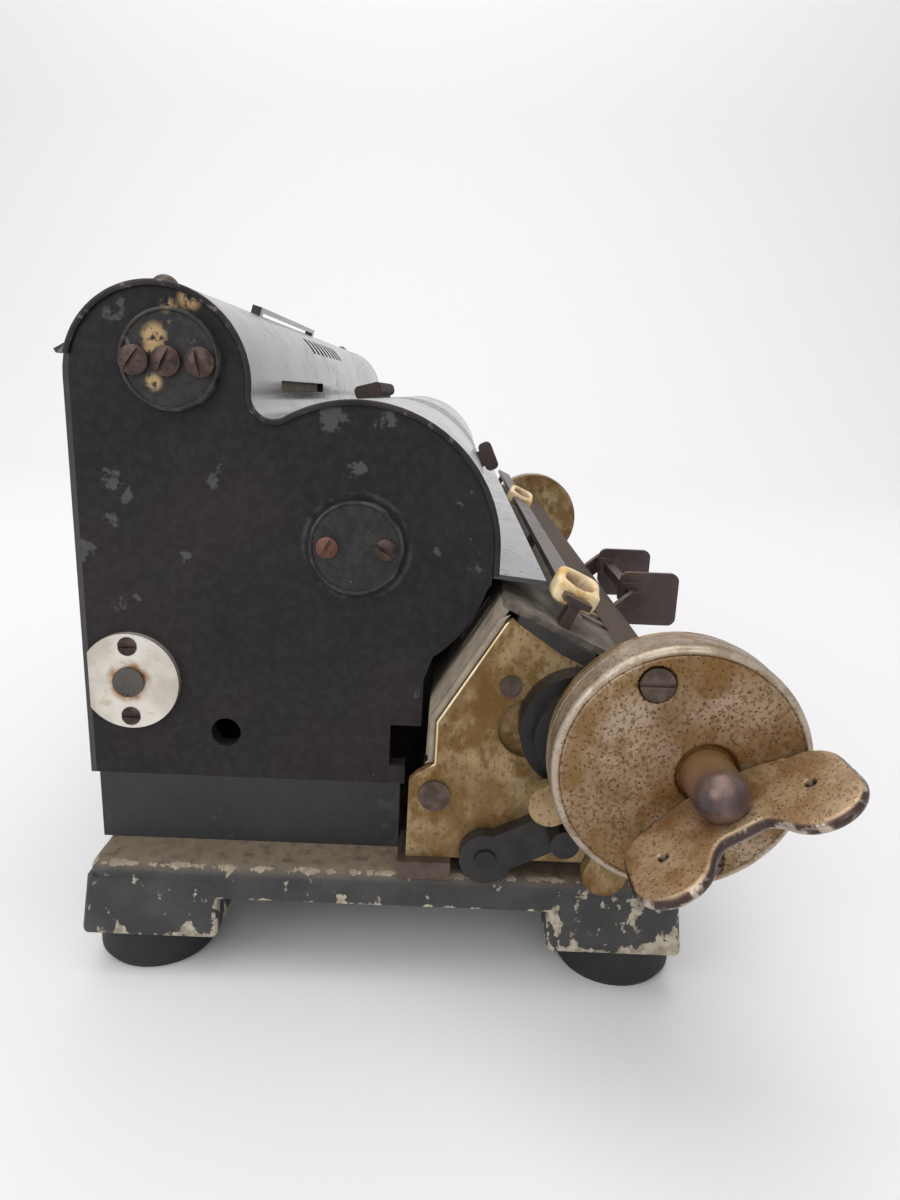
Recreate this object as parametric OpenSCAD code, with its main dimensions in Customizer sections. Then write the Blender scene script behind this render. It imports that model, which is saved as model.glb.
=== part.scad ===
// Pinwheel calculator: cast base, black end plates, humped cover, lever-set rotor and sliding carriage.
// Millimetres. X runs along the machine to the user's right, Y to the back, Z up from the floor.

/* [Body] */
// Length over the outer faces of the two end plates
body_length = 273; // [268:1:300]
// Thickness of an end plate
plate_t = 4; // [3:0.5:5]
// Thickness of the sheet covers
sheet_t = 1.2; // [1:0.1:1.5]
// Height of the joint between end plate and lower plate
seam_z = 43; // [41:0.5:45]
// Outer radius of the upper register hump
hump_r = 19; // [18.5:0.1:19.6]
// Outer radius of the main hump over the rotor
cover_r = 30.2; // [29.8:0.1:30.6]
// Radius of the hollow between the two humps
valley_r = 4.5; // [4:0.1:5.5]
// Height of the rotor axis
rotor_z = 97; // [96.6:0.1:97.8]

/* [Base] */
// Ledge of the base outside each end plate
ledge = 12.6; // [11.4:0.1:12.6]
// Height of the top of the base
base_top = 27; // [26:0.1:27]
// Thickness of the base between the legs
base_rail = 7; // [5:0.5:9]
// Length of a corner leg
leg_len = 30; // [28:1:36]
// Height of the rubber feet
foot_h = 9.8; // [7:0.1:12]
// Diameter of the rubber feet
foot_d = 27; // [22:0.5:28]

/* [Levers] */
// Spacing of the number columns
pitch = 8; // [7.6:0.1:8.4]
// Thickness of a setting lever
lever_t = 1.8; // [1.4:0.1:2]
// Width of a lever arm
arm_w = 5; // [4:0.2:6]
// Width of the finger tab on a lever
tab_w = 9; // [7:0.2:9.4]
// Radius of the tip of a lever tab from the rotor axis
lever_r = 35.2; // [34.8:0.2:37]
// Radius of a pinwheel
pinwheel_r = 22; // [18:0.5:22.5]

/* [Carriage] */
// Thickness of a carriage end plate
side_t = 2; // [1.6:0.1:2.4]
// Radius of a number wheel
wheel_r = 13.5; // [12:0.1:13.6]
// Radius of a clearing drum
drum_r = 24.5; // [24.4:0.1:25]
// Length of a clearing drum
drum_l = 8.7; // [8.4:0.1:10]
// Radius of the dark collar behind a drum
collar_r = 12.3; // [11:0.1:12.6]
// Distance from the wing axis to a wing tip
wing_r = 21.4; // [20:0.2:21.6]
// Height of the wings above the drum face
wing_h = 22.6; // [21:0.2:23.4]
// Thickness of a wing
wing_t = 2.6; // [2:0.1:3]
// Radius of the domed stud in the middle of the wings
stud_r = 5; // [4.6:0.1:5.2]
// Width of the thumb tabs
thumb_w = 15; // [12:0.5:15.4]

/* [Crank] */
// Distance from the crank axis to the knob axis
crank_r = 42; // [36:0.5:43]
// Radius of the crank knob
knob_r = 8; // [6.5:0.1:8.2]
// Length of the crank knob
knob_l = 38; // [32:0.5:44]

/* [Fits] */
// Radial clearance of a turning part on its shaft
run = 0.05; // [0.02:0.01:0.09]

/* [Hidden] */
$fn = 96;
// Centres in the end view, each as back and height
hump = [47.9, 129.5];
rotor = [7.3, rotor_z];
wheel_axis = [-40.2, 63.6];
drum_axis = [-57.1, 62.6];
flange_c = [56.5, 65.5];
mesh_angle = 26;
check_axis = [rotor[0] + 42 * cos(mesh_angle), rotor[1] + 42 * sin(mesh_angle)];
crank_axis = [rotor[0] + 24, rotor[1]];
cap1 = [44.7, 133.4];
cap_r = 10;
// Hollow between the humps, from the two tangent circles
ha = hump_r + valley_r;
hb = cover_r + valley_r;
hd = norm(rotor - hump);
hs = (ha * ha - hb * hb + hd * hd) / (2 * hd);
hh = sqrt(ha * ha - hs * hs);
hu = (rotor - hump) / hd;
valley = hump + hs * hu + hh * [hu[1], -hu[0]];
back_y = hump[0] + hump_r - sheet_t;
// Front and back edges of the base, and the feet's centres in from them
base_front = -67;
base_back = 66;
foot_in = 12.5;
// Sections of the machine along X
right_x = body_length;
side_x = 10.2;
drum_back = 21.3;
drum_face = drum_back + drum_l;
first_col = 92;
columns = 8;
counters = 8;
results = 13;
bracket_room = 2;
shaft_mid = first_col - pitch - bracket_room;
first_counter = shaft_mid - bracket_room - pitch * counters;
// Rotor, levers and gears
shaft_r = 5;
lever_zero = 75;
lever_turn = 81;
gear_m = 1.2;
sector_n = 44;
check_n = 26;
check_shaft_r = 3;
clear_m = 0.9;
clear_n = 36;
pinion_n = 12;
// The wing axis lies in front of the number wheels and a little lower
wing_fall = 3.5;
wing_axis = wheel_axis - clear_m * (clear_n + pinion_n) / 2 * [cos(wing_fall), sin(wing_fall)];
clear_shaft_r = 4;
crank_m = 1;
crank_n = 24;
crank_x = right_x + 7;
knob_x = crank_x + 6.6;
// Carriage outline: back of the sloping top, its direction and the front roll
top_back = [-24.3, 88.5];
top_up = [-0.417, 0.909];
skin_t = 1.4;
roll_r = 13;
roll_c = [-52, top_back[1] + (-top_up[0] * (-52 - top_back[0]) - roll_r) / top_up[1]];
slope = atan2(-top_up[0], top_up[1]);
rivet1 = [-26, 71.1];
rivet2 = [-11, 45.8];
latch_c = [-22.4, 33.1];
latch_tip = [-38, 41];
cover_l = right_x + 2 * (side_x - side_t);
drum_wall = 1.2;
// Direction and distance of the lugs behind a drum
lug_places = [[-29, 26], [-69, 29.8]];
lug_r = 4.4;
drum_screw_places = [[6.3, 17], [-6.3, -18.6]];
left_tilt = -33;
right_tilt = -12;
rail_p = [-39, 88.3];
rail_h = (rail_p - top_back) * top_up;
bar_p = [-66.6, 73.5];
// Wings: gap to the drum face, top face under the axis so that the stud lies in it, corner radii
wing_gap = 0.4;
wing_seat = 1.5 - stud_r;
lobe_r = 7.1;
heel_r = 6;
// The origin is under the middle of the whole machine
left_reach = -drum_face - wing_h;
right_reach = knob_x + knob_l + 2.6;
wing_front = wing_axis[0] - wing_r * cos(right_tilt) + (wing_t - wing_seat) * sin(right_tilt);
front_reach = min(drum_axis[0] - drum_r, wing_front);
back_reach = back_y + sheet_t + 1.5;
mid_x = (left_reach + right_reach) / 2;
mid_y = (front_reach + back_reach) / 2;

black = [0.07, 0.07, 0.08];
cast = [0.16, 0.17, 0.17];
brass = [0.62, 0.51, 0.30];
nickel = [0.72, 0.68, 0.60];
steel = [0.35, 0.34, 0.33];
brown = [0.25, 0.18, 0.15];
ivory = [0.90, 0.78, 0.56];
grey = [0.40, 0.40, 0.41];
rubber = [0.10, 0.10, 0.10];

// Shapes in the end view

module framed() {
  translate([-mid_x, -mid_y, 0]) children();
}

module slab(x, t) {
  translate([x, 0, 0]) rotate([90, 0, 90]) linear_extrude(t) children();
}

module rod(x, len, p, r) {
  translate([x, p[0], p[1]]) rotate([0, 90, 0]) cylinder(h = len, r = r);
}

module both_ends() {
  children();
  translate([right_x, 0, 0]) mirror([1, 0, 0]) children();
}

module disc(p, r) {
  translate(p) circle(r);
}

module wedge(p, r, a, b) {
  translate(p) polygon(concat([[0, 0]], [for (i = [0:8]) 1.3 * r * [cos(a + (b - a) * i / 8), sin(a + (b - a) * i / 8)]]));
}

module ring_part(p, ri, ro, a, b) {
  intersection() {
    difference() {
      disc(p, ro);
      disc(p, ri);
    }
    wedge(p, ro, a, b);
  }
}

module rounded(y0, z0, y1, z1, r) {
  translate([y0 + r, z0]) square([y1 - y0 - 2 * r, z1 - z0]);
  translate([y0, z0 + r]) square([y1 - y0, z1 - z0 - 2 * r]);
  for (y = [y0 + r, y1 - r], z = [z0 + r, z1 - r]) disc([y, z], r);
}

// Solid shape under the two humps, drawn in by a sheet thickness
module humps(t) {
  difference() {
    union() {
      disc(hump, hump_r - t);
      disc(rotor, cover_r - t);
      polygon([hump, valley, rotor]);
    }
    disc(valley, valley_r + t);
  }
}

// Involute teeth, thinned by a little on each flank

function inv(a) = tan(a) * 180 / PI - a;
function half_tooth(n, rp, r) = 90 / n - 6 / rp + inv(20) - inv(acos(min(1, rp * cos(20) / r)));
function polar(r, a) = [r * cos(a), r * sin(a)];
function tooth(n, m, a) = let (
  rp = m * n / 2,
  ra = rp + 0.75 * m,
  rf = rp - 1.1 * m,
  rm = rp + 0.4 * m,
  rb = max(rp * cos(20), rf + 0.1)
) [
  polar(rf, a - half_tooth(n, rp, rb)), polar(rb, a - half_tooth(n, rp, rb)),
  polar(rp, a - half_tooth(n, rp, rp)), polar(rm, a - half_tooth(n, rp, rm)), polar(ra, a - half_tooth(n, rp, ra)),
  polar(ra, a + half_tooth(n, rp, ra)), polar(rm, a + half_tooth(n, rp, rm)), polar(rp, a + half_tooth(n, rp, rp)),
  polar(rb, a + half_tooth(n, rp, rb)), polar(rf, a + half_tooth(n, rp, rb))
];

module gear(n, m, phase) {
  polygon([for (k = [0:n - 1]) each tooth(n, m, phase + 360 * k / n)]);
}

module gear_sector(n, m, phase, k0, k1) {
  polygon(concat([[0, 0]], [for (k = [k0:k1]) each tooth(n, m, phase + 360 * k / n)]));
}

// Slotted screw with a domed head that points out of the left end
module screw(x, p, r, h, shank, turn) {
  translate([x, p[0], p[1]]) rotate([0, -90, 0]) rotate([0, 0, turn]) {
    difference() {
      intersection() {
        cylinder(h = h, r = r);
        translate([0, 0, h - (r * r + h * h) / (1.4 * h)]) sphere(r = (r * r + h * h) / (1.4 * h));
      }
      translate([-r - 1, -0.4, h - 0.9]) cube([2 * r + 2, 0.8, 2]);
    }
    translate([0, 0, -shank]) cylinder(h = shank, r = 0.42 * r);
  }
}

// Base and feet

module base_outline() {
  rounded(-ledge, base_front, right_x + ledge, base_back, 5);
}

module base_casting() {
  color(cast) framed() difference() {
    union() {
      translate([0, 0, base_top - base_rail]) linear_extrude(base_rail) base_outline();
      translate([0, 0, foot_h]) linear_extrude(base_top - base_rail - foot_h) intersection() {
        base_outline();
        for (x = [-ledge, right_x + ledge - leg_len], y = [base_front, base_back - leg_len])
          translate([x, y]) square([leg_len, leg_len]);
      }
    }
    translate([leg_len - ledge, base_front + 8, 0])
      cube([right_x + 2 * ledge - 2 * leg_len, base_back - base_front - 16, base_top - base_rail + 2]);
    foot_places() translate([0, 0, foot_h]) cylinder(h = 6, r = 4);
  }
}

module foot_places() {
  for (x = [-ledge + leg_len / 2, right_x + ledge - leg_len / 2])
    for (y = [base_front + foot_in, base_back - foot_in])
      translate([x, y, 0]) children();
}

module rubber_feet() {
  color(rubber) framed() foot_places() {
    translate([0, 0, 1.5]) cylinder(h = foot_h - 1.5, r = foot_d / 2);
    cylinder(h = 1.5, r1 = foot_d / 2 - 1, r2 = foot_d / 2);
    translate([0, 0, foot_h - 0.01]) cylinder(h = 6.01, r = 4);
  }
}

// End plates and fixed frame

module end_outline() {
  difference() {
    union() {
      humps(sheet_t);
      polygon([
        [back_y, seam_z], [back_y, hump[1]], hump, valley, rotor, [rotor[0] - cover_r + sheet_t, rotor[1]],
        [-21.4, rotor[1] - 7], [-10, rotor[1] - 22], [-7.6, rotor[1] - 29], [-7.4, 57.1], [-0.5, 57.1],
        [-0.5, 47.4], [-4, 47.4], [-4, seam_z]
      ]);
    }
    disc(valley, valley_r + sheet_t);
    disc(rotor, shaft_r + run);
    disc(flange_c, 3.4);
    disc([36.1, 53.8], 3.3);
  }
}

module lower_frame() {
  color(black) framed() {
    for (x = [0, right_x - plate_t])
      translate([x, -3, base_top]) cube([plate_t, back_y - 0.7 + 3, seam_z - base_top]);
    translate([0, back_y - 4.7, base_top]) cube([right_x, 4, seam_z - base_top]);
  }
}

module left_end_plate() {
  color(black) framed() slab(0, plate_t) end_outline();
}

module right_end_plate() {
  color(black) framed() slab(right_x - plate_t, plate_t) difference() {
    end_outline();
    disc(crank_axis, 8);
  }
}

module rear_cover() {
  color(black) framed() slab(0, right_x) {
    translate([back_y, seam_z]) square([sheet_t, hump[1] - seam_z]);
    ring_part(hump, hump_r - sheet_t, hump_r, -0.01, 18);
  }
}

// Straight front of the main hump, below the rotor axis
module front_tail(t, drop) {
  translate([rotor[0] - cover_r + t, rotor[1] - drop]) square([cover_r - t, drop]);
}

module cover_section() {
  intersection() {
    difference() {
      union() {
        humps(0);
        front_tail(0, 7);
      }
      humps(sheet_t);
      front_tail(sheet_t, 8);
    }
    polygon([
      hump, hump + polar(80, 18.5), hump + polar(120, 60), rotor + polar(140, 120),
      rotor + polar(140, 150), rotor + [-90, 0], rotor + [-90, -5], rotor + [0, -5], rotor
    ]);
  }
  polygon([
    [rotor[0] - cover_r, rotor[1] - 4.7], [rotor[0] - cover_r + sheet_t, rotor[1] - 5],
    [rotor[0] - cover_r + sheet_t, rotor[1] - 5.6], [-32.9, rotor[1] - 6.8], [-33, rotor[1] - 5.7]
  ]);
  polygon([
    hump + polar(hump_r - sheet_t, 18.6), hump + polar(hump_r, 20.6), hump + [hump_r + 1.5, 5.2],
    hump + [hump_r + 1, 4.4], hump + polar(hump_r + 0.3, 18.2), hump + polar(hump_r, 18.5)
  ]);
}

module top_cover() {
  color(black) framed() {
    pierced_cover();
    check_rail();
  }
}

module pierced_cover() {
  difference() {
    slab(0, right_x) cover_section();
    for (i = [0:columns - 1]) {
      slab(col_x(i) - lever_t / 2 - 0.4, lever_t + 0.8)
        ring_part(rotor, cover_r - sheet_t - 1, cover_r + 1, lever_zero - 9, lever_zero + lever_turn + 9);
      slab(col_x(i) - 1.9, 3.8) ring_part(hump, hump_r - sheet_t - 1, hump_r + 1, 132, 149);
    }
    slab(29, 61) ring_part(hump, hump_r - sheet_t - 1, hump_r + 1, 177, 184.5);
    for (x = [7, right_x - 7]) translate([x, hump[0], hump[1]]) cylinder(h = hump_r + 2, r = 1.1);
  }
}

function col_x(i) = first_col + pitch * i;

cap_screws = [[-6.3, 12], [0.4, -25], [6.8, -35]];
rotor_screws = [[-6.2, 60], [6, -30]];
function shank(r) = 0.42 * r;

module bearing_caps() {
  color(black) framed() both_ends() slab(-2, 2) {
    difference() {
      disc(cap1, cap_r);
      for (d = cap_screws) disc(cap1 + [d[0], -0.3], shank(2.95));
    }
    difference() {
      disc(rotor, cap_r);
      for (d = rotor_screws) disc(rotor + [d[0], 0], shank(2.3));
    }
  }
}

module frame_screws() {
  color(brown) framed() {
    both_ends() {
      for (d = cap_screws) screw(-2, cap1 + [d[0], -0.3], 2.95, 2.2, 2, d[1]);
      for (d = rotor_screws) screw(-2, rotor + [d[0], 0], 2.3, 1.5, 2, d[1]);
      for (d = [-8, 8]) difference() {
        rod(-1.8, 1.8, flange_c + [0, d], 2.1);
        translate([-2, flange_c[0] - 3, flange_c[1] + d - 0.35]) cube([0.7, 6, 0.7]);
      }
    }
    for (x = [7, right_x - 7]) translate([x, hump[0], hump[1] + hump_r]) {
      intersection() {
        cylinder(h = 1.8, r = 2.6);
        translate([0, 0, -1.2]) sphere(r = 3);
      }
      translate([0, 0, -4]) cylinder(h = 4.01, r = 1.1);
    }
  }
}

module shaft_flanges() {
  color(nickel) framed() both_ends() slab(-1.6, 1.6) difference() {
    disc(flange_c, 10.8);
    translate([back_y - 0.4, 0]) square([20, 200]);
    disc(flange_c, 3.4);
    for (d = [-8, 8]) disc(flange_c + [0, d], 2.1);
  }
}

module cross_shafts() {
  color(steel) framed() {
    rod(-2.4, right_x + 4.8, flange_c, 3.4);
    rod(plate_t, right_x - 2 * plate_t, check_axis, check_shaft_r);
    for (p = [[54, 92], [22, 50], [1, 62]]) rod(plate_t, right_x - 2 * plate_t, p, 3.5);
  }
}

module check_rail() {
  intersection() {
    slab(62, 83) translate(hump) rotate(106) translate([hump_r - 0.4, -1.3]) square([2.6, 2.6]);
    union() {
      slab(62, 83) ring_part(hump, hump_r + 1, hump_r + 4, 90, 120);
      for (x = [62, 142]) slab(x, 3) ring_part(hump, hump_r - 1, hump_r + 4, 90, 120);
    }
  }
}

module carriage_rail() {
  color(steel) framed() translate([-ledge, -15, base_top]) cube([right_x + 2 * ledge, 11.6, 4]);
}

module crank_bush() {
  color(steel) framed() difference() {
    union() {
      rod(right_x - 14, 18, crank_axis, 8);
      rod(right_x, 2.5, crank_axis, 12);
    }
    rod(right_x - 20, 40, crank_axis, shaft_r + run);
  }
}

// Rotor and its crank

module rotor_shaft() {
  color(steel) framed() {
    rod(0.3, right_x - 0.6, rotor, shaft_r);
    slab(right_x - 25, 8) translate(rotor) gear(crank_n, crank_m, 0);
  }
}

module pinwheels() {
  color(steel) framed() for (i = [0:columns - 1]) slab(col_x(i) + pitch / 2 - 1.7, 3.4) difference() {
    disc(rotor, pinwheel_r);
    disc(rotor, shaft_r);
    for (k = [0:8]) translate(rotor) rotate(150 + 12 * k) translate([pinwheel_r - 6, -0.8]) square([8, 1.6]);
  }
}

module crank_shaft() {
  color(steel) framed() {
    rod(right_x - 26, crank_x + 6 - right_x + 26, crank_axis, shaft_r);
    slab(right_x - 25, 8) translate(crank_axis) gear(crank_n, crank_m, 180 + 180 / crank_n);
  }
}

module crank_arm() {
  color(nickel) framed() {
    slab(crank_x, 6) difference() {
      union() {
        disc(crank_axis, 9);
        disc(crank_axis + [0, -crank_r], 7);
        translate(crank_axis + [-5.5, -crank_r]) square([11, crank_r]);
      }
      disc(crank_axis, shaft_r);
    }
    rod(crank_x, knob_x + knob_l + 0.7 - crank_x, crank_axis + [0, -crank_r], 3);
    rod(knob_x + knob_l + 0.6, 2, crank_axis + [0, -crank_r], 5);
  }
}

module crank_knob() {
  color(black) framed() translate([knob_x, crank_axis[0], crank_axis[1] - crank_r]) rotate([0, 90, 0]) difference() {
    union() {
      cylinder(h = 3, r1 = knob_r - 2, r2 = knob_r - 0.6);
      translate([0, 0, 3]) cylinder(h = knob_l - 9, r1 = knob_r - 0.6, r2 = knob_r);
      translate([0, 0, knob_l - 6]) cylinder(h = 6, r1 = knob_r, r2 = knob_r - 3);
    }
    translate([0, 0, -1]) cylinder(h = knob_l + 2, r = 3 + run);
  }
}

// Setting levers and check wheels, one of each for every column

function lever_at(i) = i == 0 ? lever_zero + lever_turn : lever_zero;

module setting_lever(i) {
  color(brown) framed() slab(col_x(i) - lever_t / 2, lever_t) translate(rotor) rotate(lever_at(i)) difference() {
    union() {
      circle(9);
      gear_sector(sector_n, gear_m, mesh_angle - lever_zero - lever_turn, -1, 11);
      translate([0, -arm_w / 2]) square([lever_r - 2, arm_w]);
      rounded(cover_r + 0.8, -tab_w / 2, lever_r, tab_w / 2, 1.6);
    }
    circle(shaft_r + run);
  }
}

// Turn of a check wheel away from its place when its lever is down at nine
function check_turn(i) = (lever_zero + lever_turn - lever_at(i)) * sector_n / check_n;

module check_wheel(i) {
  color(ivory) framed() difference() {
    union() {
      slab(col_x(i) - 1.3, 2.6) translate(check_axis) gear(check_n, gear_m, 180 + mesh_angle + 180 / check_n + check_turn(i));
      slab(col_x(i) - 2.8, 5.6) disc(check_axis, 11.5);
    }
    rod(col_x(i) - 5, 10, check_axis, check_shaft_r + run);
  }
}

module setting_lever_1() setting_lever(0);
module setting_lever_2() setting_lever(1);
module setting_lever_3() setting_lever(2);
module setting_lever_4() setting_lever(3);
module setting_lever_5() setting_lever(4);
module setting_lever_6() setting_lever(5);
module setting_lever_7() setting_lever(6);
module setting_lever_8() setting_lever(7);
module check_wheel_1() check_wheel(0);
module check_wheel_2() check_wheel(1);
module check_wheel_3() check_wheel(2);
module check_wheel_4() check_wheel(3);
module check_wheel_5() check_wheel(4);
module check_wheel_6() check_wheel(5);
module check_wheel_7() check_wheel(6);
module check_wheel_8() check_wheel(7);

// Carriage

module side_outline() {
  difference() {
    polygon([
      [-5.2, base_top + 4.05], [-5.5, 48.9], [-7.1, 50.6], [-10.9, 53], [-11.1, 62.5], [-24.5, 84.5],
      [-25.6, 85.2], [-36, 78.2], [-44, 74.5], [-55, 69.5], [-60, 63], [-60, 44], [-53, base_top + 4.05]
    ]);
    disc(wheel_axis, clear_shaft_r + 0.5);
    disc([-30.3, 61.8], 6.6);
    disc(rivet1, 2);
    disc(rivet2, 3);
    disc(latch_c, 2.3);
  }
}

module left_carriage_plate() {
  color(brass) framed() slab(-side_x, side_t) side_outline();
}

module right_carriage_plate() {
  color(brass) framed() slab(right_x + side_x - side_t, side_t) side_outline();
}

module carriage_fasteners() {
  color(brown) framed() {
    rod(-side_x, right_x + 2 * side_x, rivet1, 2);
    rod(-side_x, right_x + 2 * side_x, rivet2, 3);
    both_ends() {
      rod(-side_x - 0.7, 0.71, rivet1, 2.3);
      rod(-side_x - 0.7, 0.71, rivet2, 3.4);
      rod(-14.6, 14.6 - side_x + side_t, latch_c, 2.3);
      for (p = drum_screw_places) drum_screw(drum_axis + p);
    }
  }
}

module drum_screw(p) {
  difference() {
    rod(-drum_face - 0.3, 1.8, p, 3.2);
    translate([-drum_face - 1, p[0] - 4, p[1] - 0.4]) cube([1.3, 8, 0.8]);
  }
  rod(-drum_face + 1.49, drum_l - 1.49, p, 1);
}

// Height of the underside of the sloping top at a given depth
function under_top(y) = (top_back * top_up - skin_t - top_up[0] * y) / top_up[1];

module carriage_rear_plate() {
  color(grey) framed() difference() {
    slab(side_t - side_x, cover_l) polygon([
      [-23.61, under_top(-23.61)], [-24.9, under_top(-24.9)], [-10.42, 62.9], [-10.3, 54], [-8.9, 54], [-9.22, 63.64]
    ]);
    for (x = [-4:pitch:right_x]) slab(x, 2) translate([-17.2, 75.3]) rotate(121.7) translate([-2, -3]) square([12, 6]);
  }
}

// Solid under the carriage sheet; the inner one runs past the open back and bottom
module carriage_fill(t, past) {
  disc(roll_c, roll_r - t);
  polygon([
    top_back - t * top_up + past * [top_up[1], -top_up[0]], roll_c + (roll_r - t) * top_up, roll_c,
    [roll_c[0] - roll_r + t, roll_c[1]], [roll_c[0] - roll_r + t, 38 - past], [roll_c[0], 38 - past],
    top_back - 30 * top_up + [past, 0]
  ]);
}

module carriage_sheet() {
  difference() {
    carriage_fill(0, 0);
    carriage_fill(skin_t, 6);
  }
}

module carriage_cover() {
  color(grey) framed() difference() {
    slab(side_t - side_x, cover_l) carriage_sheet();
    for (i = [0:counters - 1]) window_cut(first_counter + pitch * i);
    for (i = [0:results - 1]) window_cut(col_x(i));
  }
}

module window_cut(x) {
  translate([x - 2.2, wheel_axis[0], wheel_axis[1]]) rotate([slope, 0, 0]) translate([0, -3.5, 8]) cube([4.4, 7, 12]);
}

module shaft_bracket() {
  color(steel) framed() slab(shaft_mid - 2.5, 5) difference() {
    polygon([[-28, 80], [-33, 81.5], [-50, 73], [-50, 52], [-30, 52], [-24, 68]]);
    disc(wheel_axis, clear_shaft_r + run);
    disc(rivet1, 2);
  }
}

module carriage_buffers() {
  color(black) framed() both_ends() slab(-side_x, 7)
    polygon([[-26.6, 84.53], [-36, 78.2], [-43, 74.96], [-43, under_top(-43)], [-27, under_top(-27)]]);
}

// Drums that hold the clearing gears, with the brass plate and lugs behind

module left_drum() {
  color(nickel) framed() drum();
}

module right_drum() {
  color(nickel) framed() translate([right_x, 0, 0]) mirror([1, 0, 0]) drum();
}

module drum() {
  difference() {
    translate([-drum_back, drum_axis[0], drum_axis[1]]) rotate([0, -90, 0]) rotate_extrude() difference() {
      union() {
        square([drum_r, drum_l - 1.6]);
        square([drum_r - 1.6, drum_l]);
        translate([drum_r - 1.6, drum_l - 1.6]) circle(1.6);
      }
      square([drum_r - drum_wall, drum_l - 1.5]);
    }
    rod(-drum_face - 1, 4, wing_axis, stud_r + 0.5);
    for (p = drum_screw_places) rod(-drum_face - 1, 4, drum_axis + p, 3.2);
  }
}

module drum_plates() {
  color(brass) framed() both_ends() difference() {
    union() {
      slab(-drum_back, 2) {
        disc(drum_axis, drum_r - 0.3);
        lugs(20);
      }
      slab(-drum_back, 3.6) lugs(25.4);
    }
    rod(-drum_back - 1, 6, wing_axis, 3 + run);
    rod(-drum_back - 1, 6, wheel_axis, clear_shaft_r + 0.5);
  }
}

// The two rounded lugs that stand out behind a drum
module lugs(r) {
  for (a = lug_places) translate(drum_axis) rotate(a[0]) {
    disc([a[1], 0], lug_r);
    translate([r, -lug_r]) square([a[1] - r, 2 * lug_r]);
  }
}

module collars() {
  color(steel) framed() both_ends() difference() {
    union() {
      rod(-16, 16 - side_x, wheel_axis, collar_r);
      rod(-drum_back + 2, drum_back - 17.99, wheel_axis, 9.7);
    }
    rod(-drum_back - 1, 14, wheel_axis, clear_shaft_r + run);
  }
}

module latch() {
  difference() {
    union() {
      slab(-14, 3.5) {
        disc(latch_c, 5.6);
        disc(latch_tip, 4.2);
        translate(latch_c) rotate(atan2(latch_tip[1] - latch_c[1], latch_tip[0] - latch_c[0])) translate([0, -4.2])
          square([norm(latch_tip - latch_c), 8.4]);
      }
      rod(-20.5, 6.6, latch_tip, 3);
    }
    rod(-30, 30, latch_c, 2.3 + run);
  }
}

module left_latch() {
  color(steel) framed() latch();
}

module right_latch() {
  color(steel) framed() translate([right_x, 0, 0]) mirror([1, 0, 0]) latch();
}

// Wings with their studs and gears

module wing(tilt) {
  difference() {
    translate([-drum_face, wing_axis[0], wing_axis[1]]) rotate([tilt, 0, 0]) translate([0, 0, wing_seat - wing_t])
      linear_extrude(wing_t) rotate(90) {
        wing_half();
        mirror([1, 0]) wing_half();
      }
    rod(-drum_face - 40, 50, wing_axis, stud_r);
  }
}

// Half a wing as distance from the axis and height above the drum face
module wing_half() {
  disc([wing_r - lobe_r, wing_h - lobe_r], lobe_r);
  disc([wing_r - heel_r, wing_gap + heel_r], heel_r);
  translate([wing_r - lobe_r, wing_gap + heel_r]) square([lobe_r, wing_h - lobe_r - wing_gap - heel_r]);
  polygon([
    [-1, wing_gap], [wing_r - heel_r, wing_gap], [wing_r - heel_r, wing_h - lobe_r],
    [wing_r - 2 * lobe_r, wing_h - lobe_r], [wing_r - 16, wing_h - 7.8], [2.5, wing_h - 8.2], [-1, wing_h - 8.3]
  ]);
}

module stud() {
  rod(-drum_face - 8, 13, wing_axis, stud_r);
  translate([-drum_face - 8, wing_axis[0], wing_axis[1]]) sphere(r = stud_r);
  slab(-drum_face + 2.4, 4) translate(wing_axis) gear(clear_n, clear_m, wing_fall);
  rod(-drum_face + 5, drum_face - drum_back - 5 + 3.4, wing_axis, 3);
}

module left_wing() {
  color(nickel) framed() wing(left_tilt);
}

module right_wing() {
  color(nickel) framed() translate([right_x, 0, 0]) mirror([1, 0, 0]) wing(right_tilt);
}

module left_stud() {
  color(brown) framed() stud();
}

module right_stud() {
  color(brown) framed() translate([right_x, 0, 0]) mirror([1, 0, 0]) stud();
}

// Number wheels on their clearing shafts

module number_wheel(x) {
  slab(x - 2.9, 5.8) difference() {
    disc(wheel_axis, wheel_r);
    disc(wheel_axis, clear_shaft_r);
  }
}

module clear_pinion() {
  slab(-drum_face + 2.4, 4) translate(wheel_axis) gear(pinion_n, clear_m, 180 + wing_fall + 180 / pinion_n);
}

module counter_shaft() {
  color(steel) framed() {
    rod(-drum_face + 2.4, shaft_mid - 0.3 + drum_face - 2.4, wheel_axis, clear_shaft_r);
    clear_pinion();
  }
}

module counter_wheels() {
  color(ivory) framed() for (i = [0:counters - 1]) number_wheel(first_counter + pitch * i);
}

module result_shaft() {
  color(steel) framed() {
    rod(shaft_mid + 0.3, right_x + drum_face - 2.4 - shaft_mid - 0.3, wheel_axis, clear_shaft_r);
    translate([right_x, 0, 0]) mirror([1, 0, 0]) clear_pinion();
  }
}

module result_wheels() {
  color(ivory) framed() for (i = [0:results - 1]) number_wheel(col_x(i));
}

// Decimal markers on their rail, and the two thumb tabs that move the carriage

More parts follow.
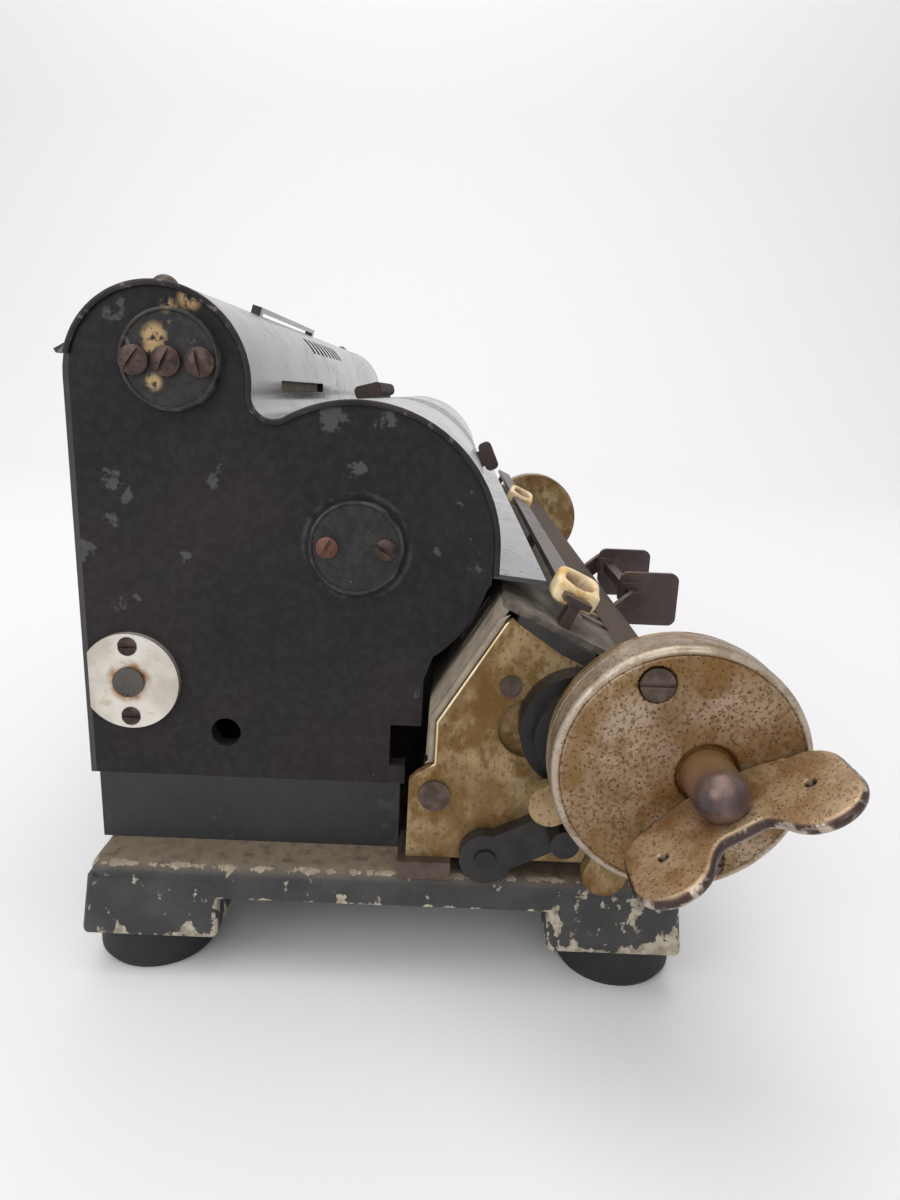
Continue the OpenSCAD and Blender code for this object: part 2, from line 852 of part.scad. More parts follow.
module carriage_bars() {
  color(steel) framed() {
    slab(-7, right_x + 14) translate(rail_p) rotate(slope) translate([-3, -0.7]) square([6, 1.4]);
    for (x = [-6, 84, right_x + 2]) slab(x, 4) translate(rail_p) rotate(slope) translate([-1.2, -rail_h])
      square([2.4, rail_h]);
    slab(60, 60) translate(bar_p - [1.5, 1.5]) square(3);
    for (x = [60, 117]) slab(x, 3) difference() {
      polygon([bar_p + [-1.5, -1.5], bar_p + [-1.5, 1.5], bar_p + [1.5, 2], [-58.6, 70], [-61.5, 66.5]]);
      disc(roll_c, roll_r);
    }
  }
}

module marker(x) {
  slab(x, 8) translate(rail_p) rotate(slope) difference() {
    rounded(-5, -2.4, 5, 4.6, 1.6);
    translate([-3.25, -0.95]) square([6.5, 1.9]);
    translate([-1.6, -6]) square([3.2, 6]);
  }
}

module left_marker() {
  color(ivory) framed() marker(-3);
}

module right_marker() {
  color(ivory) framed() marker(160);
}

module thumb(x) {
  slab(x, 1.6) difference() {
    rounded(-66 - thumb_w, 63.4, -63.6, 79.4, 2.4);
    disc(roll_c, roll_r + 0.5);
    translate(bar_p - [1.58, 1.58]) square(3.16);
  }
  slab(x - 2.4, 6.4) difference() {
    translate(bar_p - [3, 3]) square(6);
    translate(bar_p - [1.58, 1.58]) square(3.16);
  }
}

module left_tab() {
  color(brown) framed() thumb(70);
}

module right_tab() {
  color(brown) framed() thumb(108);
}

base_casting();
rubber_feet();
lower_frame();
left_end_plate();
right_end_plate();
rear_cover();
top_cover();
bearing_caps();
frame_screws();
shaft_flanges();
cross_shafts();
carriage_rail();
crank_bush();
rotor_shaft();
pinwheels();
crank_shaft();
crank_arm();
crank_knob();
setting_lever_1();
setting_lever_2();
setting_lever_3();
setting_lever_4();
setting_lever_5();
setting_lever_6();
setting_lever_7();
setting_lever_8();
check_wheel_1();
check_wheel_2();
check_wheel_3();
check_wheel_4();
check_wheel_5();
check_wheel_6();
check_wheel_7();
check_wheel_8();
left_carriage_plate();
right_carriage_plate();
carriage_fasteners();
carriage_rear_plate();
carriage_cover();
shaft_bracket();
carriage_buffers();
left_drum();
right_drum();
drum_plates();
collars();
left_latch();
right_latch();
left_wing();
right_wing();
left_stud();
right_stud();
counter_shaft();
counter_wheels();
result_shaft();
result_wheels();
carriage_bars();
left_marker();
right_marker();
left_tab();
right_tab();
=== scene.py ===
"""Looks of a lever-set pinwheel calculator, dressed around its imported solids."""
import logging
import math
from dataclasses import dataclass, field
from enum import Enum
from typing import Any, Dict, List, Optional, Sequence, Tuple, Union

import bmesh
import bpy
import numpy as np
from mathutils import Matrix, Vector


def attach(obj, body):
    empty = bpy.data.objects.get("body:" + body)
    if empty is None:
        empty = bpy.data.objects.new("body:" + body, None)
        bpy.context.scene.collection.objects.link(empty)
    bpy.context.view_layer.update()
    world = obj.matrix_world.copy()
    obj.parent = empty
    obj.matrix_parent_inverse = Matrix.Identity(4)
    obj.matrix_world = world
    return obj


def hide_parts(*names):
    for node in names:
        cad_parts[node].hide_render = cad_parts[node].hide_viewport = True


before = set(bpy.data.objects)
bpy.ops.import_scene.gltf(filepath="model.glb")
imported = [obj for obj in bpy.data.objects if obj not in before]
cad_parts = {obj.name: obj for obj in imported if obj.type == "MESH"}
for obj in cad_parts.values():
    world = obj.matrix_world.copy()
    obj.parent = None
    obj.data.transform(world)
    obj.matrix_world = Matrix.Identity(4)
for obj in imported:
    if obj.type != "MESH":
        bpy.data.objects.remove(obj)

Colour = Tuple[float, float, float, float]
Socket = bpy.types.NodeSocket
Paint = Union[str, Socket]
Spot = Tuple[float, ...]


def ray(turn: Any) -> np.ndarray:
    """Unit vectors in the end view at angles in radians from the back, turning up."""
    return np.stack([np.cos(turn), np.sin(turn)], axis=-1)


LOG = logging.getLogger("calculator")
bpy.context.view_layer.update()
MM = 0.001
SAME_POINT = 1e-6
QUARTER, ROUND = 0.5 * math.pi, 2.0 * math.pi
# The solids are drawn from the left end plate; the row's origin lies under the middle of the machine.
MIDDLE = np.array([137.3, -7.780166, 0.0])
LENGTH = 273.0
COLUMN = 8.0
LEVERS = range(1, 9)
# Axes in the end view, as distances to the back and up. Gears set the wing's and the check wheels' axes.
HUMP = np.array([47.9, 129.5])
ROTOR = np.array([7.3, 97.0])
WHEEL_AXIS = np.array([-40.2, 63.6])
WING_AXIS = WHEEL_AXIS - 21.6 * ray(math.radians(3.5))
DRUM_AXIS = np.array([-57.1, 62.6])
CHECK_AXIS = ROTOR + 42.0 * ray(math.radians(26.0))
UPPER_CAP = np.array([44.7, 133.4])
FLANGE = np.array([56.5, 65.5])
RAIL = np.array([-39.0, 88.3])
SLOPE = math.atan2(0.417, 0.909)


class Side(Enum):
    """End of the machine, with the sign of its outward direction along X."""

    LEFT = -1
    RIGHT = 1

    def x(self, out: Any) -> Any:
        """X of points that lie out millimetres beyond this end plate's outer face."""
        return (0.0 if self is Side.LEFT else LENGTH) + self.value * out

    @property
    def word(self) -> str:
        """Name used in the nodes and bodies of this end."""
        return self.name.lower()


def linear(code: str) -> Colour:
    """Turns an sRGB hex colour to linear light.

    Args:
        code: Six hex digits after a hash sign.

    Returns:
        Linear red, green, blue and an alpha of one.
    """
    srgb = np.array([int(code[i:i + 2], 16) / 255.0 for i in (1, 3, 5)])
    light = np.where(srgb <= 0.04045, srgb / 12.92, ((srgb + 0.055) / 1.055) ** 2.4)
    return (float(light[0]), float(light[1]), float(light[2]), 1.0)


def place(x: float, yz: Sequence[float]) -> Tuple[float, float, float]:
    """Point in metres of the row frame from an X along the machine and a place in the end view, in millimetres."""
    p = (np.array([x, yz[0], yz[1]]) - MIDDLE) * MM
    return (float(p[0]), float(p[1]), float(p[2]))


@dataclass(frozen=True)
class Relief:
    """Fine relief: width of its grain in millimetres, octaves, strength, depth and how far a mask sinks it."""

    size: float
    detail: float
    strength: float
    depth: float
    sink: float = 0.0


@dataclass
class Layers:
    """Node tree of one material, with the patterns that the finishes are built from."""

    tree: bpy.types.NodeTree
    coords: Optional[Socket] = None

    def add(self, kind: str, inputs: Optional[Dict[Union[int, str], Any]] = None, **settings: Any) -> bpy.types.Node:
        """Adds a node with its settings, constants and links.

        Args:
            kind: Blender's name of the node type, without ShaderNode in front.
            inputs: Value, hex colour or source socket for each input, by name or number.
            settings: Attributes of the node.

        Returns:
            The new node.
        """
        node = self.tree.nodes.new(f"ShaderNode{kind}")
        for key, value in settings.items():
            setattr(node, key, value)
        for key, value in (inputs or {}).items():
            if isinstance(value, Socket):
                self.tree.links.new(value, node.inputs[key])
            else:
                node.inputs[key].default_value = linear(value) if isinstance(value, str) else value
        return node

    def patches(self, size: float, low: float, high: float, detail: float, share: float = 1.0,
                coords: Optional[Socket] = None) -> Socket:
        """Soft-edged patches: noise of a given size, stretched between two thresholds.

        Args:
            size: Width of a patch in millimetres.
            low: Noise value below which the mask is zero.
            high: Noise value above which the mask is full.
            detail: Octaves of the noise.
            share: Value of the full mask.
            coords: Coordinates in metres, where they aren't the object's own.

        Returns:
            Mask from zero to the share.
        """
        noise = self.add("TexNoise", {"Vector": self.coords if coords is None else coords, "Scale": 1000.0 / size,
                                      "Detail": detail, "Roughness": 0.6})
        return self.add("MapRange", {"Value": noise.outputs["Fac"], "From Min": low, "From Max": high, "To Max": share},
                        interpolation_type="SMOOTHSTEP").outputs[0]

    def broken(self, mask: Socket, size: float, low: float, high: float, detail: float) -> Socket:
        """Mask broken up by patches: the product of both.

        Args:
            mask: Mask to break up.
            size: Width of a patch in millimetres.
            low: Noise value below which nothing is left.
            high: Noise value above which all is left.
            detail: Octaves of the noise.

        Returns:
            Mask from zero to one.
        """
        left = self.patches(size, low, high, detail)
        return self.add("Math", {0: mask, 1: left}, operation="MULTIPLY").outputs[0]

    def flakes(self, mask: Socket, lift: float, size: float, roughness: float, low: float, border: float,
               coords: Socket) -> Socket:
        """Ragged flakes: noise that crosses a threshold where a mask lifts it.

        Args:
            mask: Mask of the places that flake.
            lift: Height by which a full mask lifts the noise.
            size: Width of a flake in millimetres.
            roughness: Share of the finer octaves.
            low: Threshold.
            border: Height above the threshold over which a flake's border fades in.
            coords: Coordinates in metres.

        Returns:
            Mask from zero to one.
        """
        ragged = self.add("TexNoise", {"Vector": coords, "Scale": 1000.0 / size, "Detail": 9.0,
                                       "Roughness": roughness})
        lifted = self.add("Math", {0: mask, 1: lift, 2: ragged.outputs["Fac"]}, operation="MULTIPLY_ADD")
        return self.add("MapRange", {"Value": lifted.outputs[0], "From Min": low, "From Max": low + border},
                        interpolation_type="SMOOTHSTEP").outputs[0]

    def pits(self, spacing: float, radius: float, share: float) -> Socket:
        """Scattered round pits: the cells of a Voronoi pattern, of which only a share keeps its spot.

        Args:
            spacing: Distance between cells in millimetres.
            radius: Radius of a pit in millimetres.
            share: Part of the cells that holds a pit.

        Returns:
            Mask that is one inside a pit.
        """
        wander = self.add("TexNoise", {"Vector": self.coords, "Scale": 1400.0 / spacing, "Detail": 3.0})
        moved = self.add("VectorMath", {0: wander.outputs["Color"], 1: (0.6 * spacing * MM,) * 3, 2: self.coords},
                         operation="MULTIPLY_ADD")
        cells = self.add("TexVoronoi", {"Vector": moved.outputs[0], "Scale": 1000.0 / spacing})
        spot = self.add("MapRange", {"Value": cells.outputs["Distance"], "From Min": radius / spacing,
                                     "From Max": 0.45 * radius / spacing}, interpolation_type="SMOOTHSTEP")
        draw = self.add("SeparateColor", {0: cells.outputs["Color"]})
        kept = self.add("Math", {0: draw.outputs[0], 1: share}, operation="LESS_THAN")
        return self.add("Math", {0: spot.outputs[0], 1: kept.outputs[0]}, operation="MULTIPLY").outputs[0]

    def nearness(self, centre: Spot, near: float, far: float) -> Socket:
        """Mask that falls from one to zero between two distances from a point, or from an axis along the machine.

        Args:
            centre: X, Y and Z of the point, or only Y and Z of the axis, in millimetres.
            near: Distance in millimetres up to which the mask is one.
            far: Distance in millimetres from which it is zero.

        Returns:
            Mask from zero to one.
        """
        weights = (1.0, 1.0, 1.0) if len(centre) == 3 else (0.0, 1.0, 1.0)
        point = np.array(place(centre[0], centre[-2:])) * weights
        flat = self.add("VectorMath", {0: self.coords, 1: weights}, operation="MULTIPLY")
        span = self.add("VectorMath", {0: flat.outputs[0], 1: tuple(point)}, operation="DISTANCE")
        return self.add("MapRange", {"Value": span.outputs["Value"], "From Min": far * MM, "From Max": near * MM},
                        interpolation_type="SMOOTHSTEP").outputs[0]

    def lay(self, ground: Paint, *coats: Tuple[Socket, Paint]) -> Paint:
        """Lays coats of colour over a ground one after the other, each by its own mask.

        Args:
            ground: Hex colour or socket at the bottom.
            coats: Mask and colour of each coat.

        Returns:
            The mixed colour.
        """
        for mask, coat in coats:
            ground = self.add("Mix", {0: mask, 6: ground, 7: coat}, data_type="RGBA").outputs[2]
        return ground

    def seal(self, colour: Socket, rough: Socket, relief: Relief, constants: Optional[Dict[str, Any]] = None,
             sunk: Optional[Socket] = None, coords: Optional[Socket] = None) -> None:
        """Joins colour, roughness and a relief of fine noise, less what a mask sinks, in the surface shader.

        Args:
            colour: Mixed colour.
            rough: Mixed roughness.
            relief: Sizes of the relief.
            constants: Values that are the same all over the surface, by socket.
            sunk: Mask of sunk places.
            coords: Coordinates in metres, where they aren't the object's own.
        """
        height = self.add("TexNoise", {"Vector": self.coords if coords is None else coords,
                                       "Scale": 1000.0 / relief.size, "Detail": relief.detail}).outputs["Fac"]
        if sunk is not None:
            height = self.add("Math", {0: sunk, 1: -relief.sink, 2: height}, operation="MULTIPLY_ADD").outputs[0]
        bump = self.add("Bump", {"Height": height, "Strength": relief.strength, "Distance": relief.depth * MM})
        surface = self.add("BsdfPrincipled", {"Base Color": colour, "Roughness": rough, "Normal": bump.outputs[0],
                                              **(constants or {})})
        self.add("OutputMaterial", {"Surface": surface.outputs[0]})


@dataclass(frozen=True)
class Finish:
    """Base of all finishes: makes the material once and lets the finish paint its layers."""

    name: str

    def material(self) -> bpy.types.Material:
        """Finds or makes the material of this finish.

        Returns:
            The Blender material.
        """
        if self.name in bpy.data.materials:
            return bpy.data.materials[self.name]
        material = bpy.data.materials.new(self.name)
        material.use_nodes = True
        material.node_tree.nodes.clear()
        layers = Layers(material.node_tree)
        layers.coords = layers.add("TexCoord").outputs["Object"]
        self.paint(layers)
        return material

    def paint(self, layers: Layers) -> None:
        """Mixes colour, roughness and relief, and seals them."""
        raise NotImplementedError


@dataclass(frozen=True)
class Japan(Finish):
    """Baked black japan on steel: a deep gloss that dulls to grey where hands and dust have rubbed it."""

    ground: str
    warm: str
    worn: str
    speck: str = "#7b766d"
    gloss: float = 0.3
    dull: float = 0.62
    wear: float = 0.75
    wear_size: float = 7.0
    wear_low: float = 0.69
    lift: float = 0.19
    mottle: float = 0.1
    coat: float = 0.0
    shine: float = 0.5
    zones: Tuple[Tuple[Spot, float], ...] = ()
    rims: Tuple[Tuple[Spot, float, float], ...] = ()
    spills: Tuple[Tuple[Spot, float], ...] = ()
    spill_colour: str = "#ac9168"
    rim_fade: float = 1.2

    def paint(self, layers: Layers) -> None:
        """Mixes ground, warm haze, worn patches, bright specks, worn rims and dried spills."""
        haze = layers.patches(55.0, 0.4, 0.62, 3.0)
        low, high = (0.62, 0.7) if self.zones else (0.46, 0.62)
        zone = layers.patches(26.0, low, high, 4.0)
        for centre, radius in self.zones:
            near = layers.nearness(centre, 0.2 * radius, radius)
            zone = layers.add("Math", {0: zone, 1: near}, operation="MAXIMUM").outputs[0]
        wear = layers.flakes(zone, self.lift, self.wear_size, 0.65, self.wear_low, 0.055, layers.coords)
        for centre, inner, outer in self.rims:
            disc, core = (layers.nearness(centre, r, r + self.rim_fade) for r in (outer, inner))
            ring = layers.add("Math", {0: disc, 1: core}, operation="SUBTRACT").outputs[0]
            rim = layers.broken(ring, 5.0, 0.42, 0.6, 6.0)
            wear = layers.add("Math", {0: wear, 1: rim}, operation="MAXIMUM").outputs[0]
        grain = layers.patches(1.8, 0.38, 0.66, 6.0, self.mottle)
        worn = layers.add("Math", {0: wear, 1: self.wear, 2: grain}, operation="MULTIPLY_ADD").outputs[0]
        coats = [(haze, self.warm), (worn, self.worn), (layers.pits(6.0, 0.3, 0.22), self.speck)]
        for centre, radius in self.spills:
            pool = layers.nearness(centre, 0.35 * radius, radius)
            coats.append((layers.broken(pool, 2.6, 0.4, 0.52, 7.0), self.spill_colour))
        smear = layers.patches(18.0, 0.35, 0.75, 8.0)
        soft = layers.add("Math", {0: smear, 1: 0.12, 2: self.gloss}, operation="MULTIPLY_ADD").outputs[0]
        rough = layers.add("Mix", {0: wear, 2: soft, 3: self.dull}, data_type="FLOAT").outputs[0]
        # The ripple of real japan is finer than 1.6 mm; it is drawn coarse enough to show.
        layers.seal(layers.lay(self.ground, *coats), rough, Relief(1.6, 4.0, 0.06, 0.3),
                    {"Specular IOR Level": self.shine, "Coat Weight": self.coat, "Coat Roughness": 0.18})


@dataclass(frozen=True)
class AgedMetal(Finish):
    """Bare or plated metal with age: two tones in patches, stains, pits and, where marked, a second edge colour,
    painted highlight and painted shade.
    """

    dark: str
    light: str
    stain: str
    pit: str = "#33261f"
    tone_size: float = 14.0
    stain_size: float = 6.0
    stain_low: float = 0.56
    stain_share: float = 0.6
    pit_space: float = 1.5
    pit_radius: float = 0.28
    pit_share: float = 0.4
    metallic: float = 0.85
    smooth: float = 0.34
    rough: float = 0.55
    grain: Tuple[float, float, float] = (1.0, 1.0, 1.0)
    # The edge and glint colours go on marked edges, partly as painted highlight; the next two colours are painted shade
    # at the wing's root, in sunk seats and in the wing's dimples, and on the drum also real rust.
    edge: Optional[str] = None
    glint: str = "#cfc6ba"
    grime: str = "#4a3a20"
    hole: str = "#241913"
    freckle: Optional[str] = None
    freckle_size: float = 0.9
    freckle_low: float = 0.56
    bump: float = 0.25
    rings: Tuple[Tuple[Spot, float, float, str], ...] = ()
    spots: Tuple[Tuple[Spot, float, float, str], ...] = ()

    def paint(self, layers: Layers) -> None:
        """Mixes two tones, stains, rings of rust and pits, and raises the roughness with them."""
        along = layers.add("Mapping", {"Vector": layers.coords, "Scale": self.grain}).outputs[0]
        tone = layers.patches(self.tone_size, 0.36, 0.64, 7.0, coords=along)
        stain = layers.patches(self.stain_size, self.stain_low, self.stain_low + 0.12, 8.0, self.stain_share, along)
        coats = [(tone, self.light), (stain, self.stain)]
        for centre, near, far, rust in self.rings:
            coats.append((layers.broken(layers.nearness(centre, near, far), 4.0, 0.3, 0.6, 6.0), rust))
        coats += [(layers.nearness(centre, near, far), shade) for centre, near, far, shade in self.spots]
        if self.freckle:
            dots = layers.patches(self.freckle_size, self.freckle_low, self.freckle_low + 0.1, 3.0, 0.7, along)
            coats.append((dots, self.freckle))
        holes = layers.pits(self.pit_space, self.pit_radius, self.pit_share)
        if self.edge:
            # Painted shade: the first attribute darkens the wing's root and the drum's sunk seats, with real rust on
            # the drum; the last darkens the wing's dimples.
            lying, mark, dimple_shade = (layers.add("Attribute", attribute_name=name).outputs["Fac"]
                                    for name in ("grime", "edge", "hole"))
            # Edge colour with patches of the glint colour: the drum's pale rim is part rubbed plate and part painted
            # highlight; on the wings the pale glint patches are part bared plate and part painted highlight.
            rim = layers.lay(self.edge, (layers.patches(6.0, 0.5, 0.6, 5.0), self.glint))
            coats += [(layers.broken(lying, 5.0, 0.2, 0.6, 8.0), self.grime), (mark, rim), (dimple_shade, self.hole)]
            calm = layers.add("Math", {0: mark, 1: -0.8, 2: 1.0}, operation="MULTIPLY_ADD").outputs[0]
            holes = layers.add("Math", {0: holes, 1: calm}, operation="MULTIPLY").outputs[0]
        worn = layers.add("Math", {0: stain, 1: holes}, operation="MAXIMUM").outputs[0]
        rough = layers.add("Mix", {0: worn, 2: self.smooth, 3: self.rough}, data_type="FLOAT").outputs[0]
        for mask, step in ((tone, 0.08),) + (((mark, -0.16),) if self.edge else ()):
            rough = layers.add("Math", {0: mask, 1: step, 2: rough}, operation="MULTIPLY_ADD").outputs[0]
        layers.seal(layers.lay(self.dark, *coats, (holes, self.pit)), rough, Relief(0.9, 4.0, self.bump, 0.12, 1.4),
                    {"Metallic": self.metallic}, holes, along)


@dataclass(frozen=True)
class ChippedPaint(Finish):
    """Brushed grey-black paint on cast iron: chipped to a beige filler along the edges, brown dust on the ledge."""

    ground: str = "#272727"
    shade: str = "#383736"
    filler: str = "#b1a997"
    filler_dark: str = "#8b8271"
    dust: str = "#746553"

    def paint(self, layers: Layers) -> None:
        """Lets the edge attribute lift the noise over the chip threshold, and lays dust by its own attribute."""
        tone = layers.patches(9.0, 0.35, 0.68, 7.0)
        edge, lying = (layers.add("Attribute", attribute_name=name).outputs["Fac"] for name in ("edge", "dust"))
        flow = layers.add("Mapping", {"Vector": layers.coords, "Scale": (1.0, 1.0, 0.7)}).outputs[0]
        chips = layers.flakes(edge, 0.2, 3.6, 0.62, 0.672, 0.018, flow)
        filler = layers.lay(self.filler, (layers.patches(2.4, 0.4, 0.62, 6.0), self.filler_dark))
        dusty = layers.broken(lying, 3.0, 0.1, 0.62, 9.0)
        colour = layers.lay(self.ground, (tone, self.shade), (chips, filler), (dusty, self.dust))
        dull = layers.add("Math", {0: chips, 1: dusty}, operation="MAXIMUM").outputs[0]
        rough = layers.add("Mix", {0: dull, 2: 0.46, 3: 0.9}, data_type="FLOAT").outputs[0]
        layers.seal(colour, rough, Relief(1.1, 5.0, 0.45, 0.35, 1.2), sunk=chips)


@dataclass(frozen=True)
class DustyPaint(Finish):
    """Dull grey paint under a film of dust that gathers in soft drifts."""

    ground: str
    dust: str
    grit: str = "#5d5340"
    cover: float = 0.95
    front: str = "#463a36"
    front_y: Optional[float] = None

    def paint(self, layers: Layers) -> None:
        """Mixes paint, drifts of dust and darker crumbs, and bares the metal in front of a line."""
        drift = layers.patches(4.0, 0.3, 0.7, 9.0)
        film = layers.add("Math", {0: drift, 1: self.cover}, operation="MULTIPLY").outputs[0]
        coats = [(film, self.dust), (layers.pits(2.2, 0.4, 0.25), self.grit)]
        if self.front_y is not None:
            depth = layers.add("SeparateXYZ", {0: layers.coords}).outputs[1]
            line, fade = place(0.0, (self.front_y, 0.0))[1], 0.15 * MM
            past = layers.add("MapRange", {"Value": depth, "From Min": line + fade, "From Max": line - fade})
            coats.append((past.outputs[0], layers.lay(self.front, (drift, self.grit))))
        rough = layers.add("Mix", {0: film, 2: 0.7, 3: 0.95}, data_type="FLOAT").outputs[0]
        layers.seal(layers.lay(self.ground, *coats), rough, Relief(0.9, 6.0, 0.35, 0.25), {"Specular IOR Level": 0.2})


@dataclass(frozen=True)
class Celluloid(Finish):
    """Cast celluloid gone cream and amber: waxy, with brown in its finger hollow that is grime and painted shade."""

    cream: str = "#ead7ad"
    amber: str = "#d0a25f"
    # Brown for the finger hollow: grime and painted shade.
    grime: str = "#7c5c3e"

    def paint(self, layers: Layers) -> None:
        """Mixes cream and amber in patches, and brown, grime and painted shade, where the hollow is marked."""
        age = layers.patches(5.0, 0.42, 0.68, 5.0)
        hollow = layers.add("Attribute", attribute_name="edge").outputs["Fac"]
        colour = layers.lay(self.cream, (age, self.amber), (hollow, self.grime))
        rough = layers.add("Mix", {0: age, 2: 0.32, 3: 0.5}, data_type="FLOAT").outputs[0]
        layers.seal(colour, rough, Relief(2.5, 3.0, 0.15, 0.2),
                    {"Subsurface Weight": 0.12, "Subsurface Radius": (0.002, 0.001, 0.0005)})


@dataclass(frozen=True)
class Plain(Finish):
    """Moulded, turned or printed surface of one colour that only varies a little, such as rubber or stained wood."""

    ground: str
    shade: str
    size: float = 6.0
    rough: float = 0.7
    stretch: Tuple[float, float, float] = (1.0, 1.0, 1.0)

    def paint(self, layers: Layers) -> None:
        """Mixes two near shades in patches that may run along one axis."""
        along = layers.add("Mapping", {"Vector": layers.coords, "Scale": self.stretch}).outputs[0]
        tone = layers.patches(self.size, 0.35, 0.68, 7.0, coords=along)
        rough = layers.add("Math", {0: tone, 1: 0.14, 2: self.rough}, operation="MULTIPLY_ADD").outputs[0]
        layers.seal(layers.lay(self.ground, (tone, self.shade)), rough, Relief(0.8, 4.0, 0.15, 0.15), coords=along)


# Places in the end view where the japan has flaked, with the radius of each.
WORN_ZONES = (((13.1, 122.9), 7.0), ((0.9, 121.4), 8.0), ((-16.0, 107.8), 6.0), ((-18.2, 95.2), 7.0),
              ((55.6, 142.4), 5.5), ((56.7, 107.0), 6.0), ((59.2, 100.6), 6.0), ((36.9, 109.8), 6.0),
              ((57.1, 82.3), 6.0), ((8.0, 112.0), 5.0))
# Dried varnish spilled over the upper cap and the plate beside it: place and radius of each pool.
SPILLS = (((-2.0, 47.4, 137.7), 3.4), ((-2.0, 48.3, 134.6), 2.2), ((-2.0, 47.9, 129.0), 2.2),
          ((0.0, 40.8, 145.2), 3.0), ((-0.5, 45.0, 143.4), 2.4))
# Stoved black japan on steel plate: a soft satin black with brown depth, dull grey where it has flaked.
END_JAPAN = Japan("Black japan on the end plates", ground="#232326", warm="#2d2828", worn="#525253", gloss=0.34,
                  shine=0.1, wear_size=5.0, zones=WORN_ZONES, spills=SPILLS, rims=((tuple(ROTOR), 10.4, 11.0),))
# The same japan, thinner and dusty: an even charcoal.
FRAME_JAPAN = Japan("Black japan on the lower frame", ground="#36383a", warm="#323231", worn="#494a4b", gloss=0.5,
                    wear=0.4, shine=0.2)
# Japanned turned caps: dark, with a grey ring where the edge is rubbed and dry varnish spilled over one of them.
CAP_JAPAN = Japan("Black japan on the bearing caps", ground="#222122", warm="#241f1e", worn="#6f6b64", gloss=0.42,
                  wear=0.6, shine=0.25, wear_size=3.0, lift=0.08,
                  rims=((tuple(UPPER_CAP), 9.2, 10.1), (tuple(ROTOR), 9.2, 10.1)), spills=SPILLS)
# Polished japan under clear lacquer: black that mirrors the pale room, with fine scuffs.
COVER_JAPAN = Japan("Glossy black japan on the covers", ground="#17171a", warm="#1c1b1e", worn="#4b4a4a", gloss=0.2,
                    dull=0.5, wear=0.6, wear_size=3.0, lift=0.12, mottle=0.0, coat=0.6)
# Sheet edge with the japan worn through: near black with thin bright scratches.
EDGE_STEEL = AgedMetal("Browned cut edge of sheet steel", dark="#191616", light="#2d2827", stain="#7a726c",
                       stain_low=0.58, stain_size=2.5, metallic=0.5, smooth=0.32, rough=0.45, pit_share=0.2)
# Brush paint over filler on cast iron: charcoal, chipped to beige along every edge, with brown dust on top.
BASE_PAINT = ChippedPaint("Chipped grey paint on cast iron")
# Moulded rubber: matt black that swallows the light.
RUBBER = Plain("Black moulded rubber", ground="#161617", shade="#222222", size=9.0, rough=0.66)
# Turned screw steel left to rust: dark brown heads, one of them red with rust.
SCREW_STEEL = AgedMetal("Rusted screw steel", dark="#2f2623", light="#584640", stain="#4a3227", stain_low=0.53,
                        stain_size=2.5, tone_size=3.0, pit="#1d1512", pit_space=0.9, pit_radius=0.18, pit_share=0.5,
                        metallic=0.55, smooth=0.42, rough=0.7, spots=(((-2.5, 13.2, 96.9), 3.0, 4.2, "#634438"),))
# Peened rivet heads: smooth brown steel with a faint violet cast.
RIVET_STEEL = AgedMetal("Browned rivet steel", dark="#423831", light="#605148", stain="#4a3326", stain_low=0.55,
                        stain_size=2.5, tone_size=3.0, pit="#241a17", pit_space=1.1, pit_radius=0.2, metallic=0.6,
                        smooth=0.38, rough=0.6,
                        spots=tuple(((side.x(14.6), -22.4, 33.1), 3.2, 4.0, "#2b2928") for side in Side))
# Nickel plate still bright: pale silver with pin rust and a rusty ring round its screw.
BRIGHT_NICKEL = AgedMetal("Bright nickel plate", dark="#bab2a5", light="#d8d3c9", stain="#a58d63", stain_low=0.6,
                          stain_share=0.5, pit="#7b6a4c", pit_space=1.3, pit_radius=0.16, pit_share=0.45,
                          metallic=0.6, smooth=0.3, rough=0.45, bump=0.1,
                          rings=((tuple(FLANGE), 3.6, 5.6, "#9a6a30"),))
# Nickel plate rubbed by the hand: warm grey metal.
ARM_NICKEL = AgedMetal("Worn nickel plate", dark="#a09684", light="#c9c2b4", stain="#7d6a4d", stain_share=0.5,
                       pit_space=2.0, pit_radius=0.2, pit_share=0.3, metallic=0.9, smooth=0.28, rough=0.45)
# Turned and milled steel under old oil: brown-grey with marks along the lathe.
SHAFT_STEEL = AgedMetal("Machined steel", dark="#3c3a38", light="#5b5853", stain="#45382f", stain_share=0.5,
                        smooth=0.36, rough=0.52, pit_share=0.2, grain=(0.2, 1.0, 1.0))
# Steel blackened in hot oil: black, a little greasy.
DARK_STEEL = AgedMetal("Oil-blackened steel", dark="#201f1f", light="#312f2e", stain="#3d3833", stain_share=0.5,
                       stain_low=0.58, metallic=0.5, smooth=0.42, rough=0.6, pit_share=0.15, bump=0.12)
# Drawn rail steel with a brown skin.
STRIP_STEEL = AgedMetal("Browned rail steel", dark="#3d3230", light="#5d4f48", stain="#6a553d", stain_low=0.55,
                        metallic=0.6, smooth=0.36, pit_share=0.3)
# Stamped sheet, chemically browned: chocolate with a golden bloom.
TAB_STEEL = AgedMetal("Browned sheet steel", dark="#3d3231", light="#4f423f", stain="#5f4a33",
                      stain_size=9.0, metallic=0.35, smooth=0.42, rough=0.6, pit_share=0.15, bump=0.15)
